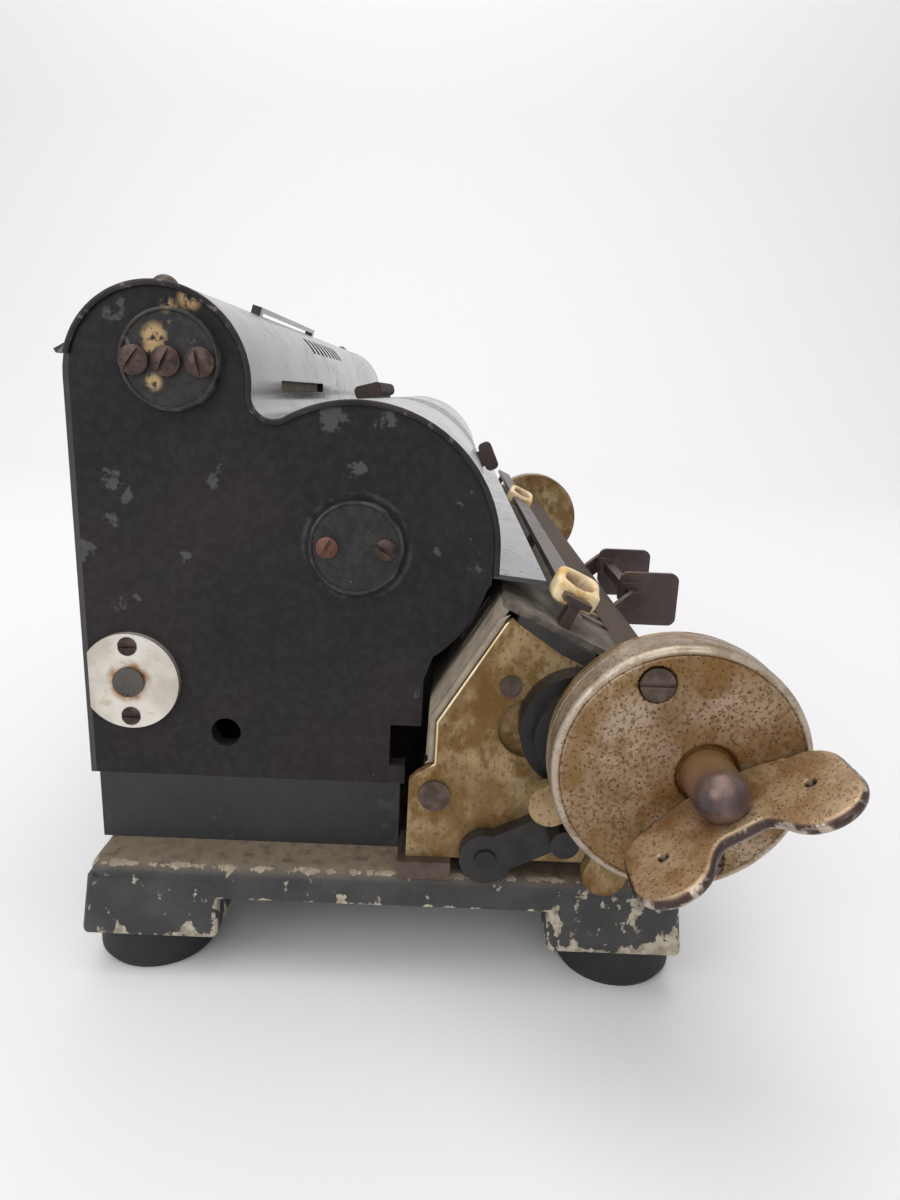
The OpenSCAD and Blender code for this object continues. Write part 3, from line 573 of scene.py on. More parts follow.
# Nickel worn off rolled brass: golden brown with grey streaks of plate, scratched up and down.
PLATE_BRASS = AgedMetal("Worn nickel over brass", dark="#735832", light="#a08a66", stain="#684a1a", stain_low=0.48,
                        stain_size=8.0, stain_share=0.8, tone_size=9.0, pit="#4d3517", pit_space=1.2,
                        pit_radius=0.2, metallic=0.5, smooth=0.4, rough=0.62, grain=(1.0, 1.0, 0.75),
                        freckle="#5c4420", freckle_low=0.55)
# Brass edge that the carriage has rubbed bare: a thin pale gold line, paler than the metal as a painted highlight.
PAINTED_GLINT_BRASS = AgedMetal("Bared brass edge with painted glint", dark="#d5bd90", light="#f0dfbd", stain="#9c7a45", stain_low=0.58,
                       stain_share=0.5, pit_share=0.1, metallic=0.7, smooth=0.3, rough=0.45)
# Nickel plate gone dull and rusted through in dots: grey tan, golden near the rim, dark freckles all over. The rolled
# rim is paler, part rubbed plate and part painted highlight; golden brown painted shade lies round the wing's root and
# in the sunk seats. Real pin rust is a tenth of a millimetre wide; it is drawn about half a millimetre wide here and on
# the wings, so that it shows.
DRUM_NICKEL = AgedMetal("Tarnished nickel on the drums", dark="#7a6041", light="#a5917a", stain="#785628",
                        stain_low=0.5, stain_size=12.0, stain_share=0.65, tone_size=13.0, pit="#553c22",
                        pit_space=0.95, pit_radius=0.3, pit_share=0.85, metallic=0.5, smooth=0.38, rough=0.6,
                        edge="#b2a797", glint="#978a76", grime="#775524", freckle="#5f4422", freckle_low=0.5)
# The same plate on the wings, handled more: sandy with brown dots, the edges dark brown with silver patches, part bare
# plate and part painted highlight; painted shade darkens the faces near the drum and fills the dimples.
WING_NICKEL = AgedMetal("Tarnished nickel on the wings", dark="#8f704d", light="#b39a7b", stain="#8a653c",
                        stain_low=0.54, stain_size=5.0, stain_share=0.5, tone_size=9.0, pit="#65472d", pit_space=0.85,
                        pit_radius=0.25, pit_share=0.8, metallic=0.5, rough=0.58, edge="#40302c", glint="#b3a595",
                        grime="#5a4120", freckle="#76522f", freckle_size=0.75, freckle_low=0.53)
# Cast bronze polished by fingers: golden at the root, violet brown and smooth on the dome.
STUD_BRONZE = AgedMetal("Bronze with a purple tarnish", dark="#43383a", light="#765d54", stain="#3f3438",
                        stain_low=0.48, tone_size=7.0, pit="#2d2220", pit_space=1.6, pit_radius=0.2,
                        pit_share=0.3, metallic=0.35, smooth=0.24, rough=0.4, bump=0.12,
                        spots=tuple(((side.x(30.0), WING_AXIS[0], WING_AXIS[1] + 2.0), 3.0, 12.0, "#8a6c48")
                                    for side in Side))
# Stove paint under years of dust: grey brown and matt; the front roll is bare browned steel.
CARRIAGE_PAINT = DustyPaint("Dusty grey paint on the carriage", ground="#4b4641", dust="#80766a", grit="#54483a",
                            front_y=-49.2)
# The same paint where nobody wipes it: pale with dust.
REAR_PAINT = DustyPaint("Dusty grey paint on the rear plate", ground="#81776a", dust="#998d7d")
# Pressed leather stops: matt black.
BUFFER_LEATHER = Plain("Black leather buffer", ground="#1c1b1b", shade="#2d2b2a", size=5.0, rough=0.6)
# Cast celluloid: waxy cream that lets a little light in.
IVORY = Celluloid("Aged ivory celluloid")
# Stoved enamel on the number wheels: smooth black.
WHEEL_ENAMEL = Plain("Black enamel on the number wheels", ground="#121213", shade="#1b1b1c", rough=0.4)
# Enamel wiped into the numbers: cream.
DIGIT_ENAMEL = Plain("Cream enamel in the numbers", ground="#e6dfcc", shade="#d5cbb2", rough=0.5)
# Turned beech under black stain and shellac: glossy, with grain along the knob.
KNOB_WOOD = Plain("Black stained beech", ground="#120f0d", shade="#241c17", size=4.0, rough=0.3,
                  stretch=(0.15, 1.0, 1.0))


def grid_quads(rows: int, columns: int, closed: bool) -> np.ndarray:
    """Corner numbers of the quads of a grid of points.

    Args:
        rows: Number of rows.
        columns: Number of points in a row.
        closed: Whether the last point of a row joins the first.

    Returns:
        Array of four corner numbers per quad.
    """
    last = columns if closed else columns - 1
    r, c = np.meshgrid(np.arange(rows - 1), np.arange(last), indexing="ij")
    n = (c + 1) % columns
    return np.stack([r * columns + c, r * columns + n, (r + 1) * columns + n, (r + 1) * columns + c],
                    axis=-1).reshape(-1, 4)


@dataclass
class Sheet:
    """Grid of points in machine millimetres, with marks that the finishes read."""

    points: np.ndarray
    marks: Dict[str, np.ndarray] = field(default_factory=dict)
    capped: bool = False
    closed: bool = True

    def faces(self, start: int) -> List[List[int]]:
        """Faces of this grid when its points follow start others.

        Args:
            start: Number of points that come before.

        Returns:
            Lists of corner numbers.
        """
        rows, columns = self.points.shape[:2]
        faces = (grid_quads(rows, columns, self.closed) + start).tolist()
        if self.capped:
            faces.append((start + np.arange(columns)[::-1]).tolist())
            faces.append((start + (rows - 1) * columns + np.arange(columns)).tolist())
        return faces


def grid(x: np.ndarray, y: np.ndarray, z: np.ndarray) -> np.ndarray:
    """Grid of points from coordinates that are spread over each other."""
    return np.stack(np.broadcast_arrays(x, y, z), axis=-1)


def build(name: str, sheets: Sequence[Sheet], finish: Finish, body: str, replaces: Sequence[str] = (),
          sharp: float = 40.0) -> None:
    """Makes one piece from grids, merges its poles and seams, and rides it on a body.

    Args:
        name: Name of the piece.
        sheets: Grids that make it up.
        finish: Finish of its surface.
        body: Body that it moves with.
        replaces: Solids that it stands for.
        sharp: Angle in degrees from which an edge stays sharp.
    """
    points, faces = [], []
    for sheet in sheets:
        faces.extend(sheet.faces(sum(len(p) for p in points)))
        points.append(sheet.points.reshape(-1, 3))
    mesh = bpy.data.meshes.new(name)
    mesh.from_pydata(((np.concatenate(points) - MIDDLE) * MM).tolist(), [], faces)
    for key in sorted({k for s in sheets for k in s.marks}):
        values = [s.marks.get(key, np.zeros(s.points.shape[:2])).reshape(-1) for s in sheets]
        mesh.attributes.new(key, "FLOAT", "POINT").data.foreach_set("value", np.concatenate(values).astype(np.float32))
    work = bmesh.new()
    work.from_mesh(mesh)
    bmesh.ops.remove_doubles(work, verts=work.verts, dist=SAME_POINT)
    bmesh.ops.dissolve_degenerate(work, edges=work.edges, dist=0.1 * SAME_POINT)
    bmesh.ops.recalc_face_normals(work, faces=work.faces)
    work.to_mesh(mesh)
    work.free()
    mesh.polygons.foreach_set("use_smooth", np.ones(len(mesh.polygons), bool))
    mesh.set_sharp_from_angle(angle=math.radians(sharp))
    piece = bpy.data.objects.new(name, mesh)
    bpy.context.scene.collection.objects.link(piece)
    mesh.materials.append(finish.material())
    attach(piece, body)
    if replaces:
        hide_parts(*replaces)
    LOG.info("%s: %d faces on %s", name, len(mesh.polygons), body)


def ease(x: Any) -> Any:
    """Smooth step 3x^2 - 2x^3 between zero and one."""
    x = np.clip(x, 0.0, 1.0)
    return x * x * (3.0 - 2.0 * x)


def squared(value: np.ndarray, power: float) -> np.ndarray:
    """Cosine or sine raised to a power with its sign kept, which squares up a circle."""
    return np.sign(value) * np.abs(value) ** power


def ring(count: int) -> np.ndarray:
    """Even angles round a closed ring, without a double of the first."""
    return np.linspace(0.0, ROUND, count, endpoint=False)


def tipped(origin: Sequence[float], along: np.ndarray, up: np.ndarray,
           turn: float) -> Tuple[np.ndarray, np.ndarray]:
    """Y and Z of points that lie along and up from an origin, on axes turned by an angle in radians."""
    c, s = math.cos(turn), math.sin(turn)
    return origin[0] + along * c - up * s, origin[1] + along * s + up * c


def carried(side: Side, path: np.ndarray, normals: np.ndarray, across: np.ndarray, out: np.ndarray) -> np.ndarray:
    """Section carried along a path: each of its points lies across along the path's normal, and out of the end.

    Args:
        side: End of the machine.
        path: Points of the path in the end view.
        normals: Unit normal at each of them.
        across: Offsets of the section's points, the same all along or one row for each point of the path.
        out: Distances beyond the end plate's outer face, in the same form.

    Returns:
        Grid of points, one row for each point of the path.
    """
    yz = path[:, None, :] + np.atleast_2d(across)[..., None] * normals[:, None, :]
    return grid(side.x(np.atleast_2d(out)), yz[..., 0], yz[..., 1])


def rounded_loop(x: Sequence[float], y: Sequence[float], r: float,
                 run: float = 3.0) -> Tuple[np.ndarray, np.ndarray]:
    """Rounded rectangle: eight points on each corner arc and one on the straight at each side of it.

    Args:
        x: Lowest and highest X.
        y: Lowest and highest Y.
        r: Corner radius.
        run: Distance from the end of an arc to the point on the straight.

    Returns:
        Points of the loop, and a mark that is one on the arcs.
    """
    a = np.linspace(0.0, QUARTER, 8) + QUARTER * np.arange(4)[:, None]
    corners = np.array([(x[i] + r - 2.0 * r * i, y[j] + r - 2.0 * r * j) for i, j in ((1, 1), (0, 1), (0, 0), (1, 0))])
    arcs = corners[:, None] + r * ray(a)
    ahead = run * ray(a + QUARTER)
    loop = np.concatenate([arcs[:, :1] - ahead[:, :1], arcs, arcs[:, -1:] + ahead[:, -1:]], axis=1)
    return loop.reshape(-1, 2), np.tile(np.r_[0.0, np.ones(8), 0.0], 4)


@dataclass
class CastBase:
    """Cast base: a slab with a rolled top edge and drafted sides on four corner legs."""

    ledge: float = 12.6
    front: float = -67.0
    back: float = 66.0
    top: float = 27.0
    rail: float = 7.8
    leg: float = 30.0
    foot: float = 9.8
    roll: float = 3.0
    draft: float = 1.8
    corner: float = 5.0
    recess: float = 2.0
    recess_rim: Tuple[float, float] = (30.0, 8.0)
    middle: Tuple[float, float] = (130.0, 60.0)

    def inset(self, z: float) -> float:
        """How far the drafted side lies inside the foot line at a height."""
        return self.draft * (z - self.foot) / (self.top - self.foot)

    def slab(self) -> Sheet:
        """Slab as loops of the outline drawn in: over the top, round the rolled edge, down the side and underneath.

        Returns:
            Grid of loops with edge and dust marks.
        """
        top, low, mid = self.top, self.top - self.rail, self.top - self.roll
        centre, under = self.inset(mid) + self.roll, self.inset(low)
        # Rows: inset along X and along Y, height, edge mark, dust mark.
        rows = [(*self.middle, top, 0.0, 1.0), (16.0, 16.0, top, 0.0, 1.0), (9.0, 9.0, top, 0.1, 1.0)]
        for t in np.linspace(0.0, QUARTER, 13):
            worn = ease((t - 0.3) / 0.3) * (1.0 - 0.7 * ease((t - 0.75) / 0.35))
            inset = centre - self.roll * math.sin(t)
            rows.append((inset, inset, mid + self.roll * math.cos(t), worn, math.cos(t) ** 2))
        rows += [(self.inset(z), self.inset(z), z, e, 0.0) for z, e in ((22.9, 0.1), (20.2, 0.2), (19.5, 0.7))]
        rows += [(under + d, under + d, low, e, 0.0) for d, e in ((0.4, 0.9), (2.0, 0.2))]
        rows += [(ix, iy, low + z, 0.0, 0.0)
                 for ix, iy, z in ((7.9, 7.9, 0.0), (*self.recess_rim, 0.0), (*self.recess_rim, self.recess),
                                   (*self.middle, self.recess))]
        loops, edges, dust = [], [], []
        for ix, iy, z, edge, lying in rows:
            loop, corner = rounded_loop((-self.ledge + ix, LENGTH + self.ledge - ix), (self.front + iy, self.back - iy),
                                        max(self.corner - min(ix, iy), 0.6))
            loops.append(np.column_stack([loop, np.full(len(loop), z)]))
            edges.append(np.maximum(edge, corner * (0.55 if low < z < top else 0.0)))
            dust.append(np.full(len(loop), lying))
        return Sheet(np.array(loops), {"edge": np.array(edges), "dust": np.array(dust)}, True)

    def leg_block(self, sx: int, sy: int) -> Sheet:
        """Corner leg as loops from the slab down, drafted on its two outer sides and rounded at the bottom.

        Args:
            sx: Sign of its end along X.
            sy: Sign of its side along Y.

        Returns:
            Grid of loops with edge marks.
        """
        # Rows: height, how far the loop is drawn in at the bottom, edge mark; the front legs are chipped more.
        rows = ((23.4, 0.0, 0.1), (21.0, 0.0, 0.1), (17.0, 0.0, 0.15), (13.6, 0.0, 0.25), (12.0, 0.0, 0.5),
                (11.0, 0.05, 0.9), (10.3, 0.25, 1.0), (9.95, 0.6, 1.0), (self.foot, 1.2, 0.9))
        more = 0.42 if sy < 0 else 0.1
        x_out = LENGTH + self.ledge if sx > 0 else -self.ledge
        y_out = self.back if sy > 0 else self.front
        loops, edges = [], []
        for z, tuck, mark in rows:
            out, inner = self.inset(z) + tuck - 0.06, self.leg - tuck
            loop, corner = rounded_loop(sorted([x_out - sx * out, x_out - sx * inner]),
                                        sorted([y_out - sy * out, y_out - sy * inner]), 1.2 if tuck < 0.5 else 0.8)
            loops.append(np.column_stack([loop, np.full(len(loop), z)]))
            edges.append(np.maximum(mark + more, corner * (0.95 if z < 19.0 else 0.3)))
        return Sheet(np.array(loops), {"edge": np.array(edges)}, True)

    def make(self) -> None:
        """Builds the base over its solid."""
        sheets = [self.slab()] + [self.leg_block(sx, sy) for sx in (-1, 1) for sy in (-1, 1)]
        build("cast_base", sheets, BASE_PAINT, "frame", ("base_casting",))


@dataclass
class CoverEdge:
    """Rolled edge of the humped cover, standing a little proud of each end plate."""

    hump_r: float = 19.0
    cover_r: float = 30.2
    valley_r: float = 4.5
    sheet: float = 1.2
    half: Tuple[float, float] = (0.66, 0.5)
    square: float = 0.6
    out: float = 0.35
    start: float = 14.0
    drop: Tuple[float, float] = (0.4, 5.0)

    def path(self) -> Tuple[np.ndarray, np.ndarray]:
        """Centre line of the sheet: three tangent arcs and a straight drop at the front.

        Returns:
            Points in the end view and their outward normals.
        """
        apart = float(np.linalg.norm(ROTOR - HUMP))
        ha, hb = self.hump_r + self.valley_r, self.cover_r + self.valley_r
        along = (ha * ha - hb * hb + apart * apart) / (2.0 * apart)
        up = math.sqrt(ha * ha - along * along)
        u = (ROTOR - HUMP) / apart
        valley = HUMP + along * u + up * np.array([u[1], -u[0]])
        a_hump = math.atan2(*(valley - HUMP)[::-1]) % ROUND
        a_rotor = math.atan2(*(valley - ROTOR)[::-1])
        hump = ray(np.linspace(math.radians(self.start), a_hump, 90))
        hollow = ray(np.linspace(a_hump - math.pi, a_rotor - math.pi, 40)[1:])
        cover = ray(np.linspace(a_rotor, math.pi, 90)[1:])
        half = self.sheet / 2.0
        drop = np.column_stack([np.full(8, ROTOR[0] - self.cover_r + half), ROTOR[1] - np.linspace(*self.drop, 8)])
        points = np.concatenate([HUMP + (self.hump_r - half) * hump, valley + (self.valley_r + half) * hollow,
                                 ROTOR + (self.cover_r - half) * cover, drop])
        return points, np.concatenate([hump, -hollow, cover, np.tile([-1.0, 0.0], (8, 1))])

    def make(self, side: Side) -> None:
        """Carries a rounded square along the centre line.

        Args:
            side: End of the machine.
        """
        t = ring(16)
        points = carried(side, *self.path(), self.half[0] * squared(np.cos(t), self.square),
                         self.out + self.half[1] * squared(np.sin(t), self.square))
        build(f"cover_edge_{side.word}", [Sheet(points, capped=True)], EDGE_STEEL, "frame")


@dataclass
class ClearingDrum:
    """Drum over the clearing gears: rolled rim, pale from rubbed plate and a painted highlight, fine groove round its
    side, sunk seat round the stud.
    """

    radius: float = 24.5
    length: float = 8.7
    back: float = 21.3
    rim: float = 1.4
    stud_seat: Tuple[float, float] = (6.2, 1.3)
    screw_seat: Tuple[float, float] = (3.6, 1.2)
    wing_hollow: float = 0.5
    hollow_at: Tuple[float, float] = (11.0, -2.0)
    hollow_half: Tuple[float, float] = (7.0, 2.4)
    rust_ring: Tuple[float, float] = (20.6, 2.6)
    root_shade_half: Tuple[float, float] = (15.0, 4.0)
    screws: Tuple[Tuple[float, float], ...] = ((6.3, 17.0), (-6.3, -18.6))
    tilt: Dict[Side, float] = field(default_factory=lambda: {Side.LEFT: -33.0, Side.RIGHT: -12.0})

    def profile(self) -> Tuple[np.ndarray, np.ndarray]:
        """Half section from the hollow back over the rim to the middle of the face.

        Returns:
            Rows of distance from the back and radius, and the edge mark of each row.
        """
        r, out, inner = self.radius, self.length, self.radius - self.rim
        a = np.linspace(0.0, QUARTER, 12)
        skirt = np.array([(out - 1.6, 0.0), (out - 1.6, r - 1.4), (0.4, r - 1.2), (0.0, r - 0.9), (0.0, r - 0.3),
                          (0.3, r), (2.3, r), (2.45, r - 0.25), (2.65, r - 0.25), (2.8, r), (4.2, r)])
        roll = np.array([out - self.rim, inner]) + self.rim * ray(a)[:, ::-1]
        seam = np.array([(out - 0.02, inner - 0.15), (out - 0.22, inner - 0.3), (out - 0.02, inner - 0.45)])
        face = np.linspace(inner - 0.8, 0.0, 62)
        rows = np.concatenate([skirt, roll, seam, np.column_stack([np.full(62, out), face])])
        # Edge mark: the pale rolled rim and groove lips, part rubbed plate and part painted highlight.
        edge = np.concatenate([np.zeros(11), np.sin(a) ** 0.5 * np.cos(a) ** 0.25, np.zeros(65)])
        edge[5:11] = (0.25, 0.3, 0.0, 0.0, 0.3, 0.35)
        return rows, edge

    def make(self, side: Side) -> None:
        """Turns the profile about the drum's axis and sinks the stud's seat and the wing's hollow into the face.

        Args:
            side: End of the machine.
        """
        rows, edge = self.profile()
        t = ring(240)
        out, r = rows[:, :1], rows[:, 1:]
        y, z = DRUM_AXIS[0] + r * np.cos(t), DRUM_AXIS[1] + r * np.sin(t)
        dy, dz = y - WING_AXIS[0], z - WING_AXIS[1]
        along, across = tipped((0.0, 0.0), dy, dz, -math.radians(self.tilt[side]))
        radius, depth = self.stud_seat
        seat = depth * ease((radius - np.hypot(dy, dz)) / 0.6)
        radius, depth = self.screw_seat
        for sy, sz in self.screws:
            away = np.hypot(y - DRUM_AXIS[0] - sy, z - DRUM_AXIS[1] - sz)
            seat = np.maximum(seat, depth * ease((radius - away) / 0.4))
        hollow = self.wing_hollow * np.exp(-((np.abs(along) - self.hollow_at[0]) / self.hollow_half[0]) ** 2
                                           - ((across - self.hollow_at[1]) / self.hollow_half[1]) ** 2)
        on_face = (out > self.length - 0.01) & (r < self.radius - self.rim - 0.5)
        x = side.x(self.back + out - np.where(on_face, np.maximum(seat, hollow), 0.0))
        ring_r, ring_half = self.rust_ring
        rust = 0.75 * np.exp(-((r - ring_r) / ring_half) ** 2) * (0.55 + 0.45 * np.cos(t - 0.7))
        # Painted shade: root darkens the face round the wing's root and the seats darken round the stud and screws;
        # rust is a ring of real rust.
        root = np.exp(-(along / self.root_shade_half[0]) ** 2 - ((across - 0.5) / self.root_shade_half[1]) ** 2)
        grime = on_face * (rust + root + (seat > 0.1))
        marks = {"edge": np.broadcast_to(edge[:, None], x.shape).copy(), "grime": np.clip(grime, 0.0, 1.0)}
        build(f"drum_shell_{side.word}", [Sheet(grid(x, y, z), marks)], DRUM_NICKEL, "carriage",
              (f"{side.word}_drum",), 50.0)


@dataclass
class ClearingWing:
    """Two-lobed wing like a wing nut's, whose faces stand out from the drum and which turns the clearing gear."""

    reach: float = 21.4
    height: float = 22.6
    thick: float = 2.6
    gap: float = 0.4
    seat: float = -3.5
    lobe: float = 7.7
    heel: float = 7.2
    drum_face: float = 30.0
    web: float = 14.3
    web_half: float = 3.2
    join: float = 64.0
    fillet: Tuple[float, float] = (1.4, 4.5)
    dimple: Tuple[float, float] = (14.1, 11.0)
    dimple_r: float = 1.2
    dimple_depth: float = 1.3
    root: Tuple[float, float] = (5.0, 9.0)
    root_shade_height: float = 6.0

    def low(self, s: np.ndarray) -> np.ndarray:
        """Edge towards the drum: straight, then a quarter circle at the heel."""
        past = np.clip(np.abs(s) - (self.reach - self.heel), 0.0, self.heel)
        return self.gap + self.heel - np.sqrt(self.heel ** 2 - past ** 2)

    def high(self, s: np.ndarray) -> np.ndarray:
        """Free edge: a low web in the middle, a half circle on each lobe and a cubic that joins them.

        Args:
            s: Distance along the span.

        Returns:
            Distance of the free edge from the drum.
        """
        a, turn = np.abs(s), math.radians(self.join)
        centre, start = self.height - self.lobe, self.web_half
        arc = centre + np.sqrt(np.clip(self.lobe ** 2 - (a - self.reach + self.lobe) ** 2, 0.0, None))
        meet = self.reach - self.lobe - self.lobe * math.sin(turn)
        rise = centre + self.lobe * math.cos(turn) - self.web
        t = np.clip((a - start) / (meet - start), 0.0, 1.0)
        join = self.web + rise * (3.0 - 2.0 * t) * t * t + (meet - start) * math.tan(turn) * (t - 1.0) * t * t
        return np.where(a > meet, arc, join)

    def span(self, count: int) -> np.ndarray:
        """Places along the span, closer together towards its ends."""
        return self.reach * np.sin(np.linspace(-QUARTER, QUARTER, count))

    @staticmethod
    def round_trip(out: np.ndarray, back: np.ndarray) -> np.ndarray:
        """Values of the upper face followed by those of the lower one, taken the other way."""
        return np.concatenate([out, back[:, ::-1]], axis=1)

    def make(self, side: Side, tilt: float) -> None:
        """Plate whose thickness follows the distance to its free edge.

        Points run over the span and, in each section, out along the upper face and back along the lower
        one. Within half a thickness of the free edge the half thickness falls as a circle does, so that
        the edge is round; at the drum both faces flare out in a fillet.

        Args:
            side: End of the machine.
            tilt: Turn of the wings in the end view, in degrees.
        """
        s, fine = self.span(301), self.span(900)
        low, high = self.low(s), self.high(s)
        t = 0.5 - 0.5 * np.cos(np.linspace(0.0, math.pi, 104))
        h = low[:, None] + (high - low)[:, None] * t
        heel = np.abs(fine) >= self.reach - self.heel
        flank = np.linspace(self.gap + self.heel, self.height - self.lobe, 60)
        rim = np.concatenate([np.column_stack([fine, self.high(fine)]), np.column_stack([fine, self.low(fine)])[heel]]
                             + [np.column_stack([np.full(60, end), flank]) for end in (-self.reach, self.reach)])
        away = np.min(np.hypot(s[:, None, None] - rim[:, 0], h[..., None] - rim[:, 1]), axis=-1)
        away[[0, -1]] = 0.0
        half = 0.5 * self.thick
        round_off = np.sqrt(np.clip(half ** 2 - np.clip(half - away, 0.0, half) ** 2, 0.0, None))
        fade = 1.0 - ease((np.abs(s)[:, None] - self.root[0]) / self.root[1])
        fillet = self.fillet[0] * np.clip(1.0 - (h - self.gap) / self.fillet[1], 0.0, 1.0) ** 2 * fade
        centred = np.hypot(np.abs(s)[:, None] - self.dimple[0], h - self.dimple[1])
        upper = self.seat - half + round_off + fillet - self.dimple_depth * ease((self.dimple_r - centred) / 0.6)
        lower = self.seat - half - round_off - 0.6 * fillet
        y, z = tipped(WING_AXIS, s[:, None], self.round_trip(upper, lower), math.radians(tilt))
        # The rounded free edge is marked as worn; painted shade darkens the faces towards the drum near the root.
        worn, grime = ease((0.8 - away) / 0.5), ease(1.0 - (h - self.gap) / self.root_shade_height) * fade
        # Painted shade: each dimple is marked to be coloured near black.
        dimple_shade = ease((self.dimple_r + 0.1 - centred) / 0.45)
        marks = {"edge": self.round_trip(worn, worn), "grime": self.round_trip(grime, grime),
                 "hole": self.round_trip(dimple_shade, 0.0 * dimple_shade)}
        points = grid(side.x(self.drum_face + self.round_trip(h, h)), y, z)
        build(f"wing_blade_{side.word}", [Sheet(points, marks)], WING_NICKEL, f"{side.word}_wing",
              (f"{side.word}_wing",), 60.0)


@dataclass
class PlateEdge:
    """Rear edge of a carriage plate, rubbed bare by the sliding carriage and painted pale as a highlight, and the rear
    plate's dusty lip beside it.
    """

    line: Tuple[Tuple[float, float], ...] = ((-9.2, 51.8), (-10.9, 53.0), (-11.1, 62.5), (-24.5, 84.5), (-25.6, 85.2))
    face: float = 10.2

    def strip(self, side: Side, name: str, finish: Finish, radius: float, shift: float,
              out: float) -> None:
        """Carries a circle along the plate's outline, with even steps between its corners and thin ends.

        Args:
            side: End of the machine.
            name: First part of the piece's name.
            finish: Finish of the strip.
            radius: Radius of the circle.
            shift: Distance of its centre outside the outline.
            out: Distance of its centre beyond the end plate.
        """
        corners = np.array(self.line)
        mark = np.r_[0.0, np.cumsum(np.linalg.norm(np.diff(corners, axis=0), axis=1))]
        run = np.unique(np.concatenate([np.linspace(0.0, mark[-1], 60), mark]))
        path = np.column_stack([np.interp(run, mark, corners[:, 0]), np.interp(run, mark, corners[:, 1])])
        ahead = np.gradient(path, run, axis=0)
        ahead /= np.linalg.norm(ahead, axis=1)[:, None]
        swell = radius * np.clip(np.minimum(run, mark[-1] - run) / 2.0, 0.05, 1.0)[:, None]
        points = carried(side, path, np.column_stack([ahead[:, 1], -ahead[:, 0]]), shift + swell * np.cos(ring(12)),
                         out + swell * np.sin(ring(12)))
        build(f"{name}_{side.word}", [Sheet(points, capped=True)], finish, "carriage")

    def make(self, side: Side) -> None:
        """Makes the bare edge, painted pale as a highlight, and the dusty lip of one end."""
        self.strip(side, "plate_edge", PAINTED_GLINT_BRASS, 0.3, -0.12, self.face - 0.12)
        self.strip(side, "plate_lip", REAR_PAINT, 0.75, 0.85, self.face - 1.1)


@dataclass
class SlotBacking:
    """Strip of painted sheet inside the hump, close behind the slot in the cover."""

    first: float = 26.0
    last: float = 112.0
    inner: float = 16.6
    thick: float = 0.7
    arc: Tuple[float, float] = (172.0, 187.0)

    def make(self) -> None:
        """Carries a thin arc of sheet along the slot."""
        turns = ray(np.radians(np.linspace(*self.arc, 14)))
        loop = HUMP + np.concatenate([self.inner * turns, (self.inner + self.thick) * turns[::-1]])
        x = np.linspace(self.first, self.last, 12)[:, None]
        build("slot_backing", [Sheet(grid(x, loop[:, 0], loop[:, 1]), capped=True)], REAR_PAINT, "frame")


@dataclass
class CapRing:
    """Turned bead round the edge of a bearing cap."""

    radius: float = 9.5
    bead: float = 0.42
    out: float = 1.95

    def make(self, side: Side) -> None:
        """Carries a small circle round each of the two caps of one end.

        Args:
            side: End of the machine.
        """
        turns, p = ray(np.linspace(0.0, ROUND, 120)), ring(12)
        sheets = [Sheet(carried(side, at + self.radius * turns, turns, self.bead * np.cos(p),
                                self.out + self.bead * np.sin(p))) for at in (UPPER_CAP, ROTOR)]
        build(f"cap_ring_{side.word}", sheets, CAP_JAPAN, "frame")


@dataclass
class HoleBacking:
    """Brass washer close behind the round hole of a carriage plate."""

    centre: Tuple[float, float] = (-30.3, 61.8)
    radius: float = 7.0
    straight: float = -35.6
    out: float = 8.1
    thick: float = 0.5

    def make(self, side: Side) -> None:
        """Disc with one straight side, as rings from the middle of one face over the rim to that of the other.

        Args:
            side: End of the machine.
        """
        t = ring(72)
        r = self.radius * np.array([0.0, 0.5, 1.0, 1.0, 0.5, 0.0])[:, None]
        deep = self.thick * np.array([0.0, 0.0, 0.0, 1.0, 1.0, 1.0])[:, None]
        points = grid(side.x(self.out - deep), np.maximum(self.centre[0] + r * np.cos(t), self.straight),
                      self.centre[1] + r * np.sin(t))
        build(f"hole_backing_{side.word}", [Sheet(points)], PLATE_BRASS, "carriage")


@dataclass
class DecimalMarker:
    """Ivory marker that rides on the rail, with a finger hollow in its top."""

    length: float = 8.0
    half: float = 5.0
    low: float = -2.4
    high: float = 4.6
    square: float = 0.4
    fall: float = 2.0
    hollow: float = 2.6
    floor: float = 1.4
    oval_half: float = 3.7
    oval_shift: float = 0.12
    oval_narrow: float = 1.25

    def make(self, name: str, start: float) -> None:
        """Rounded block as superellipse sections along X, lower at its left and hollowed by an oval smooth step.

        Args:
            name: Solid and body that it stands for.
            start: X of its left end.
        """
        u = np.sin(np.linspace(-QUARTER, QUARTER, 61))[:, None]
        swell = np.clip(1.0 - np.abs(u) ** 8, 0.0, 1.0) ** 0.125
        p = ring(120)
        across = self.half * squared(np.cos(p), self.square) * swell
        up = 0.5 * (self.high + self.low) + 0.5 * (self.high - self.low) * squared(np.sin(p), self.square) * swell
        up = up - self.fall * ease(0.5 - 0.6 * u) * np.clip(np.sin(p), 0.0, 1.0) ** self.square
        oval = 1.0 - (across / self.oval_half) ** 2 - ((u + self.oval_shift) * self.oval_narrow) ** 2
        sunk = ease(oval / 0.35) * (np.sin(p) > 0.3)
        up = np.where(sunk > 0.0, np.maximum(up - self.hollow * sunk, np.minimum(up, self.floor)), up)
        points = grid(start + self.length * 0.5 * (1.0 + u), *tipped(RAIL, across, up, SLOPE))
        # The edge mark browns the finger hollow: grime and painted shade.
        build(f"{name}_saddle", [Sheet(points, {"edge": 0.9 * ease(1.7 * sunk)})], IVORY, name, (name,),
              55.0)


